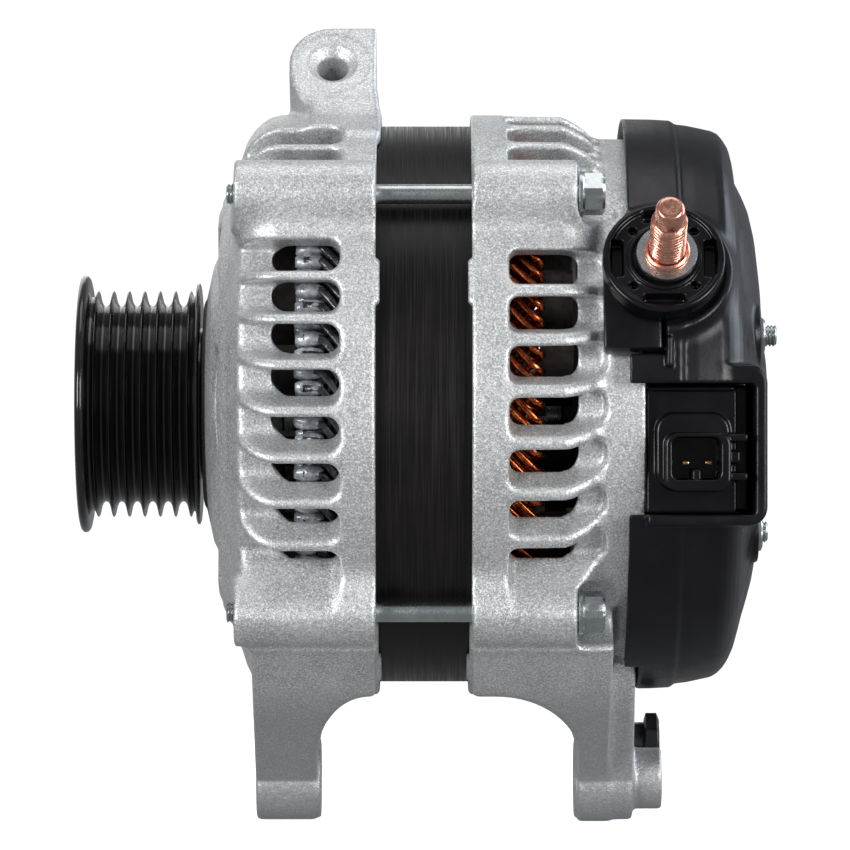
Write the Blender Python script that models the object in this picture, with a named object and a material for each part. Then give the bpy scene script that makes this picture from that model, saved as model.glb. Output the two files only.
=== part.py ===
"""Hairpin-wound car alternator, built as the separate pieces that come apart on a bench.

The frame: X runs along the shaft, with the drive end face of the shaft at the origin and the
pulley around it, +Z is up towards the adjusting lug, and the output stud and the connector look
towards -Y. Lengths below are millimetres, and MM turns them into Blender's metres.
Angles round the shaft start at -Y and rise towards +Z.
"""
import math

import bmesh
import bpy
from mathutils import Matrix, Vector

MM = 0.001
GAP = 0.3
RING_SIDES = 32
SHAFT_SIDES = 16

# Driving dimensions: stations along the shaft and radii from it.
BODY_RADIUS = 66.6
CORE_RADIUS = 64.0
CORE_BORE = 49.2
CORE_START = 59.0
CORE_END = 93.0
COIL_INNER = 50.6
COIL_OUTER = 59.4
FRONT_COIL_X = 46.8
REAR_COIL_X = 102.5
CASE_WALL = 6.2
NOSE_FRONT = 25.2
FRONT_CASE_END = 65.1
REAR_CASE_START = 86.4
REAR_CASE_END = 124.6
REAR_RIM_RADIUS = 61.0
COVER_START = 121.0
COVER_END = 154.4
COVER_RADIUS = 65.6

BOLT_CIRCLE = 67.5
BOLT_ANGLE = 43.5
BOLT_RADIUS = 2.2
BOLT_ANGLES = (BOLT_ANGLE, 180 - BOLT_ANGLE, 180 + BOLT_ANGLE, -BOLT_ANGLE)
BOSS_RADIUS = 7.6
BOSS_FRONT = 33.1
BOSS_REAR = 109.8

FRONT_SLOTS = 40
FRONT_SLOT_START = 2.6
FRONT_SLOT_SPAN = (42.0, 57.0)
REAR_SLOTS = 36
REAR_SLOT_START = -3.0
REAR_SLOT_SPAN = (94.5, 109.4)
SLOT_WIDTH = 6.6
SLOT_CLEARANCE = 10.0
SLOT_SKEW = 22.0

FRONT_BEARING_X = 30.0
FRONT_BEARING_WIDTH = 14.0
FRONT_BEARING_RADIUS = 23.5
FRONT_BEARING_BORE = 8.5
REAR_BEARING_X = 108.0
REAR_BEARING_WIDTH = 11.0
REAR_BEARING_RADIUS = 17.5
REAR_BEARING_BORE = 7.5

SHAFT_LENGTH = 147.0
SHAFT_RADIUS = 10.0
POLE_RADIUS = 48.3
POLE_START = 60.5
POLE_END = 91.5
POLE_DISC = 10.5
POLE_PAIRS = 8
FAN_RADIUS = 47.5
SLIP_RING_RADIUS = 7.5

PULLEY_FRONT = -3.3
PULLEY_BACK = 24.3
RIB_PITCH = 3.56
RIB_COUNT = 7
FIRST_RIB = 0.7
RIB_RADIUS = 25.75
GROOVE_RADIUS = 22.5
FLANGE_RADIUS = 29.65

WEB_TOP = -66.0
PIVOT_Z = -86.4
PIVOT_RADIUS = 4.6
EAR_RADIUS = 9.5
PIVOT_BOSS_RADIUS = 7.05
PIVOT_BOSS_END = 130.5
BRACKET_BOLT_Y = 13.0
BRACKET_BOLT_Z = -79.5
FRONT_FOOT = (37.2, 51.3)
REAR_FOOT = (111.1, 123.8)
WIDE_SHOULDER = (48.5, -55.5)
NARROW_SHOULDER = (24.0, -59.0)
HEAD_POCKET_END = 118.0

LUG_FACE = Vector((54.8, -6.0, 78.4))
LUG_TILT = math.atan2(0.6, 0.8)
LUG_HALF = 10.0
LUG_HALF_HEIGHT = 11.0
LUG_DEPTH = 22.0

TERMINAL_X = 128.5
TERMINAL_ANGLE = 27.0
TERMINAL_BASE_ANGLE = 20.5
RECESS_SPAN = (120.0, 148.7)
RECESS_Z = (-24.6, 4.3)
FRAME_END = 151.4
FRAME_Z = (-27.0, 8.5)
FRAME_Y = (-62.0, -38.0)
SOCKET_FACE = -66.0
SOCKET_X = (130.4, 140.8)
SOCKET_Z = (-15.4, -7.5)
PIN_X = (133.4, 138.5)
PIN_Z = -13.2
STUD_CIRCLE = 40.0
STUD_RADIUS = 2.4
STUD_ANGLES = (22.3, 157.7, -46.5)
STUD_ENDS = (154.8, 154.8, 153.4)
NUT_SPAN = (149.3, 152.2)
REAR_VENT_ANGLES = (0, 55, 85, 115, 185, 215, 245, 275)

CAST = ("cast_aluminium", (0.62, 0.63, 0.63), 0.45, 1.0)
STEEL = ("steel", (0.45, 0.45, 0.46), 0.35, 1.0)
ZINC = ("zinc_plate", (0.62, 0.66, 0.64), 0.3, 1.0)
IRON = ("laminated_iron", (0.05, 0.045, 0.045), 0.45, 0.8)
COPPER = ("copper", (0.72, 0.31, 0.17), 0.35, 1.0)
GLOSS_BLACK = ("pulley_black", (0.01, 0.01, 0.011), 0.2, 0.3)
PLASTIC = ("cover_plastic", (0.012, 0.012, 0.015), 0.4, 0.0)
MOULDING = ("black_moulding", (0.01, 0.01, 0.012), 0.25, 0.0)
CARBON = ("brush_carbon", (0.03, 0.03, 0.03), 0.7, 0.0)
BRASS = ("pin_brass", (0.7, 0.5, 0.2), 0.3, 1.0)


def clear_scene():
    for old in list(bpy.data.objects):
        bpy.data.objects.remove(old, do_unlink=True)


def material(look):
    """The Principled material of a (name, colour, roughness, metallic) look, made once."""
    name, colour, roughness, metallic = look
    made = bpy.data.materials.get(name)
    if made:
        return made
    made = bpy.data.materials.new(name)
    made.use_nodes = True
    shader = made.node_tree.nodes["Principled BSDF"]
    shader.inputs["Base Color"].default_value = (*colour, 1.0)
    shader.inputs["Roughness"].default_value = roughness
    shader.inputs["Metallic"].default_value = metallic
    made.diffuse_color = (*colour, 1.0)
    return made


# Shapes are (points, faces) pairs in millimetres.


def turned(profile, sides=RING_SIDES):
    """A solid turned about X from a closed (x, radius) outline. Points at radius 0 become poles."""
    points = []
    rows = []
    for x, radius in profile:
        first = len(points)
        if radius == 0:
            points.append((x, 0.0, 0.0))
            rows.append([first] * sides)
            continue
        for step in range(sides):
            angle = 2 * math.pi * step / sides
            points.append((x, -radius * math.cos(angle), radius * math.sin(angle)))
        rows.append(list(range(first, first + sides)))
    faces = []
    for row, below in zip(rows, rows[1:] + rows[:1]):
        for step in range(sides):
            after = (step + 1) % sides
            corners = [row[step], row[after], below[after], below[step]]
            corners = list(dict.fromkeys(corners))
            if len(corners) > 2:
                faces.append(corners)
    return points, faces


def ring(x_low, x_high, inner, outer, sides=RING_SIDES):
    return turned([(x_low, inner), (x_low, outer), (x_high, outer), (x_high, inner)], sides)


def rod(x_low, x_high, radius, sides=10):
    return turned([(x_low, 0), (x_low, radius), (x_high, radius), (x_high, 0)], sides)


def prism(outline, low, high, axis="X"):
    """An outline pushed along an axis: (y, z) points for X, (x, z) points for Y."""
    count = len(outline)
    if axis == "X":
        points = [(end, a, b) for end in (low, high) for a, b in outline]
    else:
        points = [(a, end, b) for end in (low, high) for a, b in outline]
    faces = [list(range(count)), list(range(count, 2 * count))]
    for step in range(count):
        after = (step + 1) % count
        faces.append([step, after, after + count, step + count])
    return points, faces


def box(x_low, x_high, y_low, y_high, z_low, z_high):
    outline = [(y_low, z_low), (y_high, z_low), (y_high, z_high), (y_low, z_high)]
    return prism(outline, x_low, x_high)


def hexagon(x_low, x_high, across_flats):
    return rod(x_low, x_high, across_flats / math.sqrt(3), 6)


def arc(centre, radius, start, end, steps):
    """Points on an arc, from start to end degrees."""
    found = []
    for step in range(steps + 1):
        angle = math.radians(start + (end - start) * step / steps)
        found.append((centre[0] + radius * math.cos(angle), centre[1] + radius * math.sin(angle)))
    return found


def ball(radius, sides=6):
    steps = 3
    profile = [(-radius * math.cos(math.pi * i / steps), radius * math.sin(math.pi * i / steps))
               for i in range(steps + 1)]
    profile[0] = (-radius, 0)
    profile[-1] = (radius, 0)
    return turned(profile, sides)


def moved(shape, matrix):
    points, faces = shape
    return [tuple(matrix @ Vector(point)) for point in points], faces


def shifted(shape, x=0.0, y=0.0, z=0.0):
    return moved(shape, Matrix.Translation((x, y, z)))


def turned_to(shape, angle):
    """The shape, drawn on the -Y side, turned about X to an angle round the shaft."""
    return moved(shape, Matrix.Rotation(-math.radians(angle), 4, "X"))


def around(shape, angles):
    return [turned_to(shape, angle) for angle in angles]


def at_circle(shape, circle, angle):
    return turned_to(shifted(shape, y=-circle), angle)


def radial(shape, x, angle):
    """A shape drawn along +X from the shaft's centre, stood outwards at x and at this angle."""
    stand = Matrix.Rotation(-math.pi / 2, 4, "Z")
    return turned_to(shifted(moved(shape, stand), x=x), angle)


def sector(x_low, x_high, inner, outer, start, end, steps=4):
    """A curved slab between two radii and two angles round the shaft."""
    def on(radius, angle):
        turn = math.radians(angle)
        return (-radius * math.cos(turn), radius * math.sin(turn))
    angles = [start + (end - start) * step / steps for step in range(steps + 1)]
    outline = [on(outer, angle) for angle in angles]
    outline += [on(inner, angle) for angle in reversed(angles)]
    return prism(outline, x_low, x_high)


def gathered(shapes):
    """Several shapes that stay clear of each other, as one shape."""
    points, faces = [], []
    for more_points, more_faces in shapes:
        start = len(points)
        points += more_points
        faces += [[index + start for index in face] for face in more_faces]
    return points, faces


def as_object(name, shape, look, origin=(0, 0, 0)):
    points, faces = shape
    start = Vector(origin)
    mesh = bpy.data.meshes.new(name)
    mesh.from_pydata([(Vector(point) - start) * MM for point in points], [], faces)
    shaper = bmesh.new()
    shaper.from_mesh(mesh)
    bmesh.ops.recalc_face_normals(shaper, faces=shaper.faces)
    shaper.to_mesh(mesh)
    shaper.free()
    mesh.shade_smooth()
    mesh.set_sharp_from_angle(angle=math.radians(35))
    mesh.materials.append(material(look))
    made = bpy.data.objects.new(name, mesh)
    made.location = start * MM
    bpy.context.scene.collection.objects.link(made)
    return made


def combine(target, shape, operation, index, solver):
    helper = as_object(f"{target.name}_{operation.lower()}_{index}", shape, CAST)
    helper.hide_render = True
    helper.display_type = "WIRE"
    modifier = target.modifiers.new(helper.name, "BOOLEAN")
    modifier.operation = operation
    modifier.solver = solver
    modifier.object = helper


def piece(name, shape, look, adds=(), cuts=(), origin=(0, 0, 0), parent=None, solver="EXACT"):
    """One node: a shape with further shapes joined on and then cut away."""
    made = as_object(name, shape, look, origin)
    if parent:
        made.parent = parent
        made.matrix_parent_inverse = parent.matrix_world.inverted()
    for index, added in enumerate(adds):
        combine(made, added, "UNION", index, solver)
    for index, cutter in enumerate(cuts):
        combine(made, cutter, "DIFFERENCE", index, solver)
    return made


def axis_empty(name, location):
    made = bpy.data.objects.new(name, None)
    made.location = Vector(location) * MM
    bpy.context.scene.collection.objects.link(made)
    bpy.context.view_layer.update()
    return made


def turn_between(angle, other):
    return abs((angle - other + 180) % 360 - 180)


def slot_angles(count, start, blocked):
    """The angles of the cooling slots that stay clear of the bolts and the blocked sectors."""
    found = []
    for step in range(count):
        angle = start + 360 * step / count
        if any(turn_between(angle, bolt) < SLOT_CLEARANCE for bolt in BOLT_ANGLES):
            continue
        if any(turn_between(angle, middle) < half for middle, half in blocked):
            continue
        found.append(angle)
    return found


def cooling_slots(span, angles):
    """Slots through the case wall that all lean the same way round from the radial direction."""
    slots = []
    for angle in angles:
        slot = turned_to(box(*span, -6, 12, -SLOT_WIDTH / 2, SLOT_WIDTH / 2), angle - SLOT_SKEW)
        turn = math.radians(angle)
        slots.append(shifted(slot, y=-BODY_RADIUS * math.cos(turn), z=BODY_RADIUS * math.sin(turn)))
    return slots


def case_bosses(x_low, x_high):
    bosses = [at_circle(rod(x_low, x_high, BOSS_RADIUS, 16), BOLT_CIRCLE, angle) for angle in BOLT_ANGLES]
    return gathered(bosses)


def bolt_rods(x_low, x_high, radius):
    return gathered([at_circle(rod(x_low, x_high, radius), BOLT_CIRCLE, angle) for angle in BOLT_ANGLES])


def ear(span, shoulder):
    """A foot with a round end, widening up to a shoulder of (half width, height)."""
    half, height = shoulder
    neck = arc((0, PIVOT_Z), EAR_RADIUS, 180, 360, 8)
    return prism(neck + [(half, height), (half - 4, height + 8), (4 - half, height + 8), (-half, height)], *span)


def web_cut(corner, inner_face, rise):
    """What is taken from under a case to leave its concave web down to a foot's inner face."""
    width = inner_face - corner
    curve = []
    for step in range(7):
        turn = math.pi / 2 * step / 6
        curve.append((corner + width * math.sin(turn), WEB_TOP - rise * (1 - math.cos(turn))))
    edge = corner - (20 if width > 0 else -20)
    return prism(curve + [(inner_face, -110), (edge, -110), (edge, WEB_TOP)], -70, 70, "Y")


def pivot_hole(span):
    return shifted(rod(span[0] - 2, span[1] + 8, PIVOT_RADIUS, 16), z=PIVOT_Z)


def lug_frame():
    """Places a shape drawn with its face at x = 0, its depth along +X and its left side at +Y."""
    out = Vector((0, -math.cos(LUG_TILT), math.sin(LUG_TILT)))
    up = Vector((0, math.sin(LUG_TILT), math.cos(LUG_TILT)))
    across = Vector((-1, 0, 0))
    return Matrix.Translation(LUG_FACE) @ Matrix((-out, across, up)).transposed().to_4x4()


def lug_block():
    round_end = arc((0, 1), LUG_HALF, 90, 0, 6)
    outline = [(LUG_HALF, -LUG_HALF_HEIGHT), (-LUG_HALF, -LUG_HALF_HEIGHT), (-LUG_HALF, LUG_HALF_HEIGHT)]
    return moved(prism(outline + round_end, 0, LUG_DEPTH), lug_frame())


def lug_gusset():
    """The smooth saddle that carries the lug down onto the case."""
    outline = [(-13.0, 69.5), (-18, 65.2), (-26, 61.2), (-24, 54), (12, 56), (14, 64), (12, 72), (-4, 72)]
    return prism(outline, LUG_FACE.x - LUG_HALF, LUG_FACE.x + LUG_HALF)


def lug_hole():
    profile = [(-1, 0), (-1, 6.2), (0.0, 5.5), (2.0, 3.5), (18, 3.5), (18, 0)]
    return moved(turned(profile, 16), lug_frame())


def make_front_case():
    outer = [(NOSE_FRONT, 0), (NOSE_FRONT, 24), (28.6, 35), (29.1, 45.5), (32.2, 52), (34.4, 59),
             (38.6, 65.1), (42.5, BODY_RADIUS), (FRONT_CASE_END, BODY_RADIUS), (FRONT_CASE_END, 0)]
    ledge = CORE_START - GAP
    wall = BODY_RADIUS - CASE_WALL
    seat = FRONT_BEARING_RADIUS + GAP
    bearing_end = FRONT_BEARING_X + FRONT_BEARING_WIDTH
    cavity = [(70, 0), (70, CORE_RADIUS + GAP), (ledge, CORE_RADIUS + GAP), (ledge, wall), (43, wall),
              (38.5, 56.5), (37, 51), (37, 32), (bearing_end, 32), (bearing_end, seat),
              (FRONT_BEARING_X - GAP, seat), (FRONT_BEARING_X - GAP, 18.6), (NOSE_FRONT - 2, 18.6), (NOSE_FRONT - 2, 0)]
    slots = cooling_slots(FRONT_SLOT_SPAN, slot_angles(FRONT_SLOTS, FRONT_SLOT_START, ((90, 21), (-90, 40))))
    vents = [sector(26, 38.5, 35, 50, angle - 15, angle + 15, 2) for angle in range(0, 360, 45)]
    screw_holes = [at_circle(rod(36, 46, 2.0 + GAP, 8), 28, angle) for angle in range(45, 405, 90)]
    return piece(
        "drive_end_frame", turned(outer), CAST,
        adds=[case_bosses(BOSS_FRONT, FRONT_CASE_END - 0.5), lug_gusset(), lug_block(),
              ear((FRONT_FOOT[0], FRONT_CASE_END - 0.5), WIDE_SHOULDER)],
        cuts=[gathered(slots + vents), web_cut(63.5, FRONT_FOOT[1], 15.5),
              gathered([bolt_rods(NOSE_FRONT, 70, BOLT_RADIUS + GAP), pivot_hole(FRONT_FOOT), lug_hole()]),
              turned(cavity), gathered(screw_holes)],
        solver="MANIFOLD",
    )


def make_rear_case():
    outer = [(REAR_CASE_START, 0), (REAR_CASE_START, BODY_RADIUS), (107, BODY_RADIUS), (110.4, 64.7),
             (114.4, REAR_RIM_RADIUS), (REAR_CASE_END, REAR_RIM_RADIUS), (REAR_CASE_END, 0)]
    ledge = CORE_END + GAP
    wall = BODY_RADIUS - CASE_WALL
    seat = REAR_BEARING_RADIUS + GAP
    seat_end = REAR_BEARING_X + REAR_BEARING_WIDTH + GAP
    cavity = [(80, 0), (80, CORE_RADIUS + GAP), (ledge, CORE_RADIUS + GAP), (ledge, wall), (106, wall),
              (110.5, 56.5), (111.5, 52), (111.5, 24), (107, 24), (107, seat), (seat_end, seat),
              (seat_end, 11), (122, 11), (122, 0)]
    back = [(116, 24), (116, 57), (130, 57), (130, 0), (121.7, 0), (121.7, 24)]
    slots = cooling_slots(REAR_SLOT_SPAN, slot_angles(REAR_SLOTS, REAR_SLOT_START, ((-90, 40),)))
    vents = [sector(110, 118, 29, 51, angle - 11, angle + 11, 2) for angle in REAR_VENT_ANGLES]
    studs_bores = [at_circle(rod(108, 118, STUD_RADIUS + GAP, 10), STUD_CIRCLE, angle) for angle in STUD_ANGLES]
    terminal_notch = turned_to(box(TERMINAL_X - 11, 130, -63, -50, -11, 11), TERMINAL_ANGLE)
    pivot_boss = shifted(rod(REAR_FOOT[1] - 1, PIVOT_BOSS_END, PIVOT_BOSS_RADIUS, 16), z=PIVOT_Z)
    lobe = shifted(rod(REAR_FOOT[0] + 1, REAR_FOOT[1] - 0.4, 8.0, 16), y=BRACKET_BOLT_Y, z=BRACKET_BOLT_Z)
    bolt_bore = shifted(rod(100, 134, 4.0 + GAP), y=BRACKET_BOLT_Y, z=BRACKET_BOLT_Z)
    return piece(
        "rear_end_frame", turned(outer), CAST,
        adds=[case_bosses(REAR_CASE_START + 0.5, BOSS_REAR), ear((REAR_CASE_START + 0.5, HEAD_POCKET_END), WIDE_SHOULDER),
              ear((REAR_FOOT[0] + 1, REAR_FOOT[1]), NARROW_SHOULDER), pivot_boss, lobe],
        cuts=[gathered(slots + vents), web_cut(92.0, REAR_FOOT[0], 15.0),
              gathered([pivot_hole(REAR_FOOT), bolt_bore] + studs_bores),
              bolt_rods(80, 112, BOLT_RADIUS + GAP), bolt_rods(BOSS_REAR, HEAD_POCKET_END + 2, 7.0),
              turned(cavity), turned(back), terminal_notch],
        solver="MANIFOLD",
    )


def make_stator():
    piece("stator_core", ring(CORE_START, CORE_END, CORE_BORE, CORE_RADIUS), IRON)
    piece("stator_winding_front", ring(FRONT_COIL_X, CORE_START - GAP, COIL_INNER, COIL_OUTER), COPPER)
    piece("stator_winding_rear", ring(CORE_END + GAP, REAR_COIL_X, COIL_INNER, COIL_OUTER), COPPER)


def make_through_bolts():
    for index, angle in enumerate(BOLT_ANGLES, 1):
        shank = rod(32.0, BOSS_REAR + GAP + 0.5, BOLT_RADIUS)
        washer = rod(BOSS_REAR + GAP, BOSS_REAR + GAP + 1.2, 5.2, 16)
        head = hexagon(BOSS_REAR + GAP + 1.0, 116.0, 8.4)
        adds = [at_circle(shape, BOLT_CIRCLE, angle) for shape in (washer, head)]
        piece(f"through_bolt_{index}", at_circle(shank, BOLT_CIRCLE, angle), ZINC, adds=adds)


def make_bearing(prefix, x, width, bore, radius, balls, spin):
    """Outer race, inner race and the caged balls between them."""
    race = (radius - bore) * 0.26
    inner_edge = bore + GAP + race
    outer_edge = radius - race
    middle = (inner_edge + outer_edge) / 2
    ball_radius = (outer_edge - inner_edge) / 2 - GAP
    piece(f"{prefix}_bearing_outer_race", ring(x, x + width, outer_edge, radius), STEEL)
    piece(f"{prefix}_bearing_inner_race", ring(x, x + width, bore + GAP, inner_edge, SHAFT_SIDES), STEEL,
          parent=spin)
    cage = ring(x + width * 0.3, x + width * 0.7, middle - 0.8, middle + 0.8, 14)
    balls_shape = [at_circle(shifted(ball(ball_radius), x=x + width / 2), middle, 360 * i / balls + 7)
                   for i in range(balls)]
    cage_spin = axis_empty(f"{prefix}_cage_axis", (x + width / 2, 0, 0))
    piece(f"{prefix}_bearing_balls", cage, STEEL, adds=[gathered(balls_shape)], parent=cage_spin)


def make_retainer():
    """The plate and its four screws that hold the front bearing in the nose."""
    start = FRONT_BEARING_X + FRONT_BEARING_WIDTH + GAP
    holes = [at_circle(rod(start - 1, start + 3, 2.0 + GAP, 8), 28, angle) for angle in range(45, 405, 90)]
    piece("bearing_retainer_plate", ring(start, start + 2, 13.0, 31.5), STEEL, cuts=[gathered(holes)])
    for index, angle in enumerate(range(45, 405, 90), 1):
        shank = at_circle(rod(start - 7, start + 2 + GAP + 0.5, 2.0, 8), 28, angle)
        head = at_circle(rod(start + 2 + GAP, start + 4.3, 3.6, 12), 28, angle)
        piece(f"retainer_screw_{index}", shank, ZINC, adds=[head])


def claw(angle, root_x, root_end, tip_x):
    """One claw finger: a root block on the disc and a tapering finger over the coil."""
    outline = [(root_x, 36), (root_end, 36), (root_end, 40.7), (tip_x, 43), (tip_x, POLE_RADIUS),
               (root_x, POLE_RADIUS)]
    points = []
    for side in (-1, 1):
        for x, radius in outline:
            reach = max(0.0, (x - root_end) / (tip_x - root_end))
            points.append((x, -radius, side * (6.2 - 3.2 * reach)))
    count = len(outline)
    faces = [list(range(count)), list(range(count, 2 * count))]
    for step in range(count):
        after = (step + 1) % count
        faces.append([step, after, after + count, step + count])
    return turned_to((points, faces), angle)


def make_rotor(spin):
    shaft = [(0, 0), (0, 6.4), (0.6, 7), (12.7, 7), (12.7, FRONT_BEARING_BORE), (46, FRONT_BEARING_BORE),
             (46, SHAFT_RADIUS), (107.4, SHAFT_RADIUS), (107.4, REAR_BEARING_BORE), (121, REAR_BEARING_BORE),
             (121, 4), (SHAFT_LENGTH, 4), (SHAFT_LENGTH, 0)]
    piece("rotor_shaft", turned(shaft, SHAFT_SIDES), STEEL, parent=spin)
    middle = (POLE_START + POLE_END) / 2
    bore = SHAFT_RADIUS + GAP
    pitch = 360 / POLE_PAIRS
    halves = (("front_pole_core", POLE_START, 1, 0.0), ("rear_pole_core", POLE_END, -1, pitch / 2))
    for name, face, way, start in halves:
        disc_end = face + way * POLE_DISC
        hub_end = middle - way * GAP / 2
        disc = [(face, bore), (face, 40.2), (disc_end, 40.2), (disc_end, 22), (hub_end, 22), (hub_end, bore)]
        tip = face + way * (POLE_END - POLE_START - 1.5)
        claws = [claw(start + pitch * i, face, disc_end, tip) for i in range(POLE_PAIRS)]
        piece(name, turned(disc, 24), IRON, adds=[gathered(claws)], parent=spin)
    low = POLE_START + POLE_DISC + GAP
    high = POLE_END - POLE_DISC - GAP
    spool = [(low, 22.4), (low, 40), (low + 0.9, 40), (low + 0.9, 23.6), (high - 0.9, 23.6), (high - 0.9, 40),
             (high, 40), (high, 22.4)]
    piece("field_coil_bobbin", turned(spool, 24), PLASTIC, parent=spin)
    piece("field_coil", ring(low + 1.2, high - 1.2, 23.9, 39.5, 24), COPPER, parent=spin)


def fan(name, plate_x, blade_x, blades, slant, spin):
    """A pressed fan: a plate against the pole core with blades bent up from its rim."""
    lean = Matrix.Rotation(math.radians(slant), 4, "X")
    low, high = sorted((plate_x + (0.7 if blade_x > plate_x else 0.8), blade_x))
    blade = shifted(moved(box(low, high, -7.0, 7.0, -0.7, 0.7), lean), y=-39.5)
    plate = ring(plate_x, plate_x + 1.5, SHAFT_RADIUS + GAP, 43.5, 24)
    shapes = around(blade, [360 * i / blades for i in range(blades)])
    piece(name, plate, STEEL, adds=[gathered(shapes)], parent=spin)


def make_fans(spin):
    fan("front_fan", POLE_START - GAP - 1.5, 49.6, 11, 30, spin)
    fan("rear_fan", POLE_END + GAP, 103.0, 9, 30, spin)


def make_slip_rings(spin):
    piece("slip_ring_sleeve", ring(122.4, 145.5, 4.3, 5.7, 16), PLASTIC, parent=spin)
    for name, x in (("slip_ring_inner", 124.6), ("slip_ring_outer", 134.6)):
        piece(name, ring(x, x + 8, 6.0, SLIP_RING_RADIUS, SHAFT_SIDES), COPPER, parent=spin)


def make_pulley(spin):
    ribs = []
    for index in range(RIB_COUNT):
        crest = FIRST_RIB + index * RIB_PITCH
        ribs.append((crest, RIB_RADIUS))
        if index < RIB_COUNT - 1:
            ribs.append((crest + RIB_PITCH / 2, GROOVE_RADIUS))
    last = ribs[-1][0]
    profile = [(PULLEY_FRONT, 21.5), (PULLEY_FRONT, 28.8), (-2.2, FLANGE_RADIUS), (-1.0, 28.6), (-0.9, 24.4)]
    profile += ribs
    profile += [(last + 0.6, 24.4), (PULLEY_BACK - 0.9, 24.4), (PULLEY_BACK - 0.8, 27.8), (PULLEY_BACK, 27.8),
                (PULLEY_BACK, 17.5), (27.5, 17.5), (27.5, 12.2), (FRONT_BEARING_X - GAP, 12.2),
                (FRONT_BEARING_X - GAP, FRONT_BEARING_BORE + GAP), (11.5, FRONT_BEARING_BORE + GAP), (11.5, 17.5)]
    piece("pulley", turned(profile, 24), GLOSS_BLACK, parent=spin)
    nut = hexagon(2.4, 11.2, 22.0)
    piece("pulley_nut", nut, ZINC, cuts=[rod(0, 13, 7 + GAP, SHAFT_SIDES)], parent=spin)


def connector_frame():
    """The walls that the cover raises round the connector, with round corners on the closed side."""
    corner = 4.0
    x = FRAME_END - corner
    low, high = FRAME_Z
    outline = [(REAR_CASE_END + GAP, low), (REAR_CASE_END + GAP, high)]
    outline += arc((x, high - corner), corner, 90, 0, 4) + arc((x, low + corner), corner, 0, -90, 4)
    return prism(outline, *FRAME_Y, "Y")


def make_cover():
    outer = [(COVER_START, COVER_RADIUS), (136, 64.6), (142, 63.2), (144.5, 60.5), (146.2, 56),
             (148.7, 48), (151, 41), (152.4, 31.5), (153.4, 18), (COVER_END, 11), (COVER_END, 0)]
    inner = [(152.2, 0), (152.2, 11), (150.2, 31), (148.8, 40), (146.5, 47), (142, 60), (COVER_START, 63.4)]
    foot_side = box(110, REAR_FOOT[1] + 0.4, -27, 27, -70, -50)
    recess = box(*RECESS_SPAN, -75, -34, *RECESS_Z)
    terminal = turned_to(box(115, 129, -70, -58, -12.4, 12.4), TERMINAL_BASE_ANGLE)
    neck = radial(rod(55, 70, 9.5 + GAP, 20), TERMINAL_X, TERMINAL_ANGLE)
    studs = [at_circle(rod(140, 160, STUD_RADIUS + GAP, 10), STUD_CIRCLE, angle) for angle in STUD_ANGLES]
    pads = [at_circle(rod(146.6, 151.3, 6.8, 16), STUD_CIRCLE, angle) for angle in STUD_ANGLES]
    pockets = [at_circle(rod(NUT_SPAN[0] - GAP, 160, 5.1, 16), STUD_CIRCLE, angle) for angle in STUD_ANGLES]
    piece("rear_cover", turned(outer + inner), PLASTIC, adds=[gathered(pads), connector_frame()],
          cuts=[foot_side, recess, terminal, gathered([neck] + studs), gathered(pockets)])


def make_cover_fasteners():
    for index, (angle, end) in enumerate(zip(STUD_ANGLES, STUD_ENDS), 1):
        stud = rod(110, end, STUD_RADIUS, 10)
        piece(f"cover_stud_{index}", at_circle(stud, STUD_CIRCLE, angle), ZINC)
        nut = at_circle(hexagon(*NUT_SPAN, 8.0), STUD_CIRCLE, angle)
        hole = at_circle(rod(NUT_SPAN[0] - 1, NUT_SPAN[1] + 1, STUD_RADIUS + GAP, 10), STUD_CIRCLE, angle)
        piece(f"cover_nut_{index}", nut, ZINC, cuts=[hole])


def make_terminal():
    def stood(shape):
        return radial(shape, TERMINAL_X, TERMINAL_ANGLE)
    block = turned_to(box(115.3, 128, -66.6, -61.7, -12, 12), TERMINAL_BASE_ANGLE)
    piece("terminal_insulator", stood(rod(66.2, 71.0, 13.5, 24)), MOULDING,
          adds=[stood(rod(50, 67, 9.5, 20)), block],
          cuts=[stood(rod(48, 73, 4.0 + GAP))])
    stud = [(46, 0), (46, 4), (86.5, 4), (87.3, 3.2), (92.6, 3.2), (93.2, 2.6), (93.2, 0)]
    piece("output_terminal_stud", stood(turned(stud, 12)), COPPER)
    piece("terminal_washer", stood(ring(71.0 + GAP, 73.0, 4.0 + GAP, 6.8, 16)), ZINC)


def make_connector():
    """The two-pole socket of the control wires, standing in the cover's recess."""
    body = box(REAR_CASE_END + GAP, 144.8, -58, -37, RECESS_Z[0] + GAP, RECESS_Z[1] - GAP)
    back = box(144.5, RECESS_SPAN[1] - GAP, -44, -37, RECESS_Z[0] + GAP, RECESS_Z[1] - GAP)
    shroud = box(128.8, 143.1, SOCKET_FACE, -57, -19.3, -6.6)
    cavity = box(*SOCKET_X, SOCKET_FACE - 4, -53, *SOCKET_Z)
    bores = []
    for index, x in enumerate(PIN_X, 1):
        bores.append(box(x - 1.05, x + 1.05, -54, -44, PIN_Z - 0.7, PIN_Z + 0.7))
        pin = box(x - 0.75, x + 0.75, -60.5, -44.6, PIN_Z - 0.4, PIN_Z + 0.4)
        piece(f"connector_pin_{index}", pin, BRASS)
    piece("connector_housing", body, MOULDING, adds=[shroud, back], cuts=[cavity, gathered(bores)])


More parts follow.
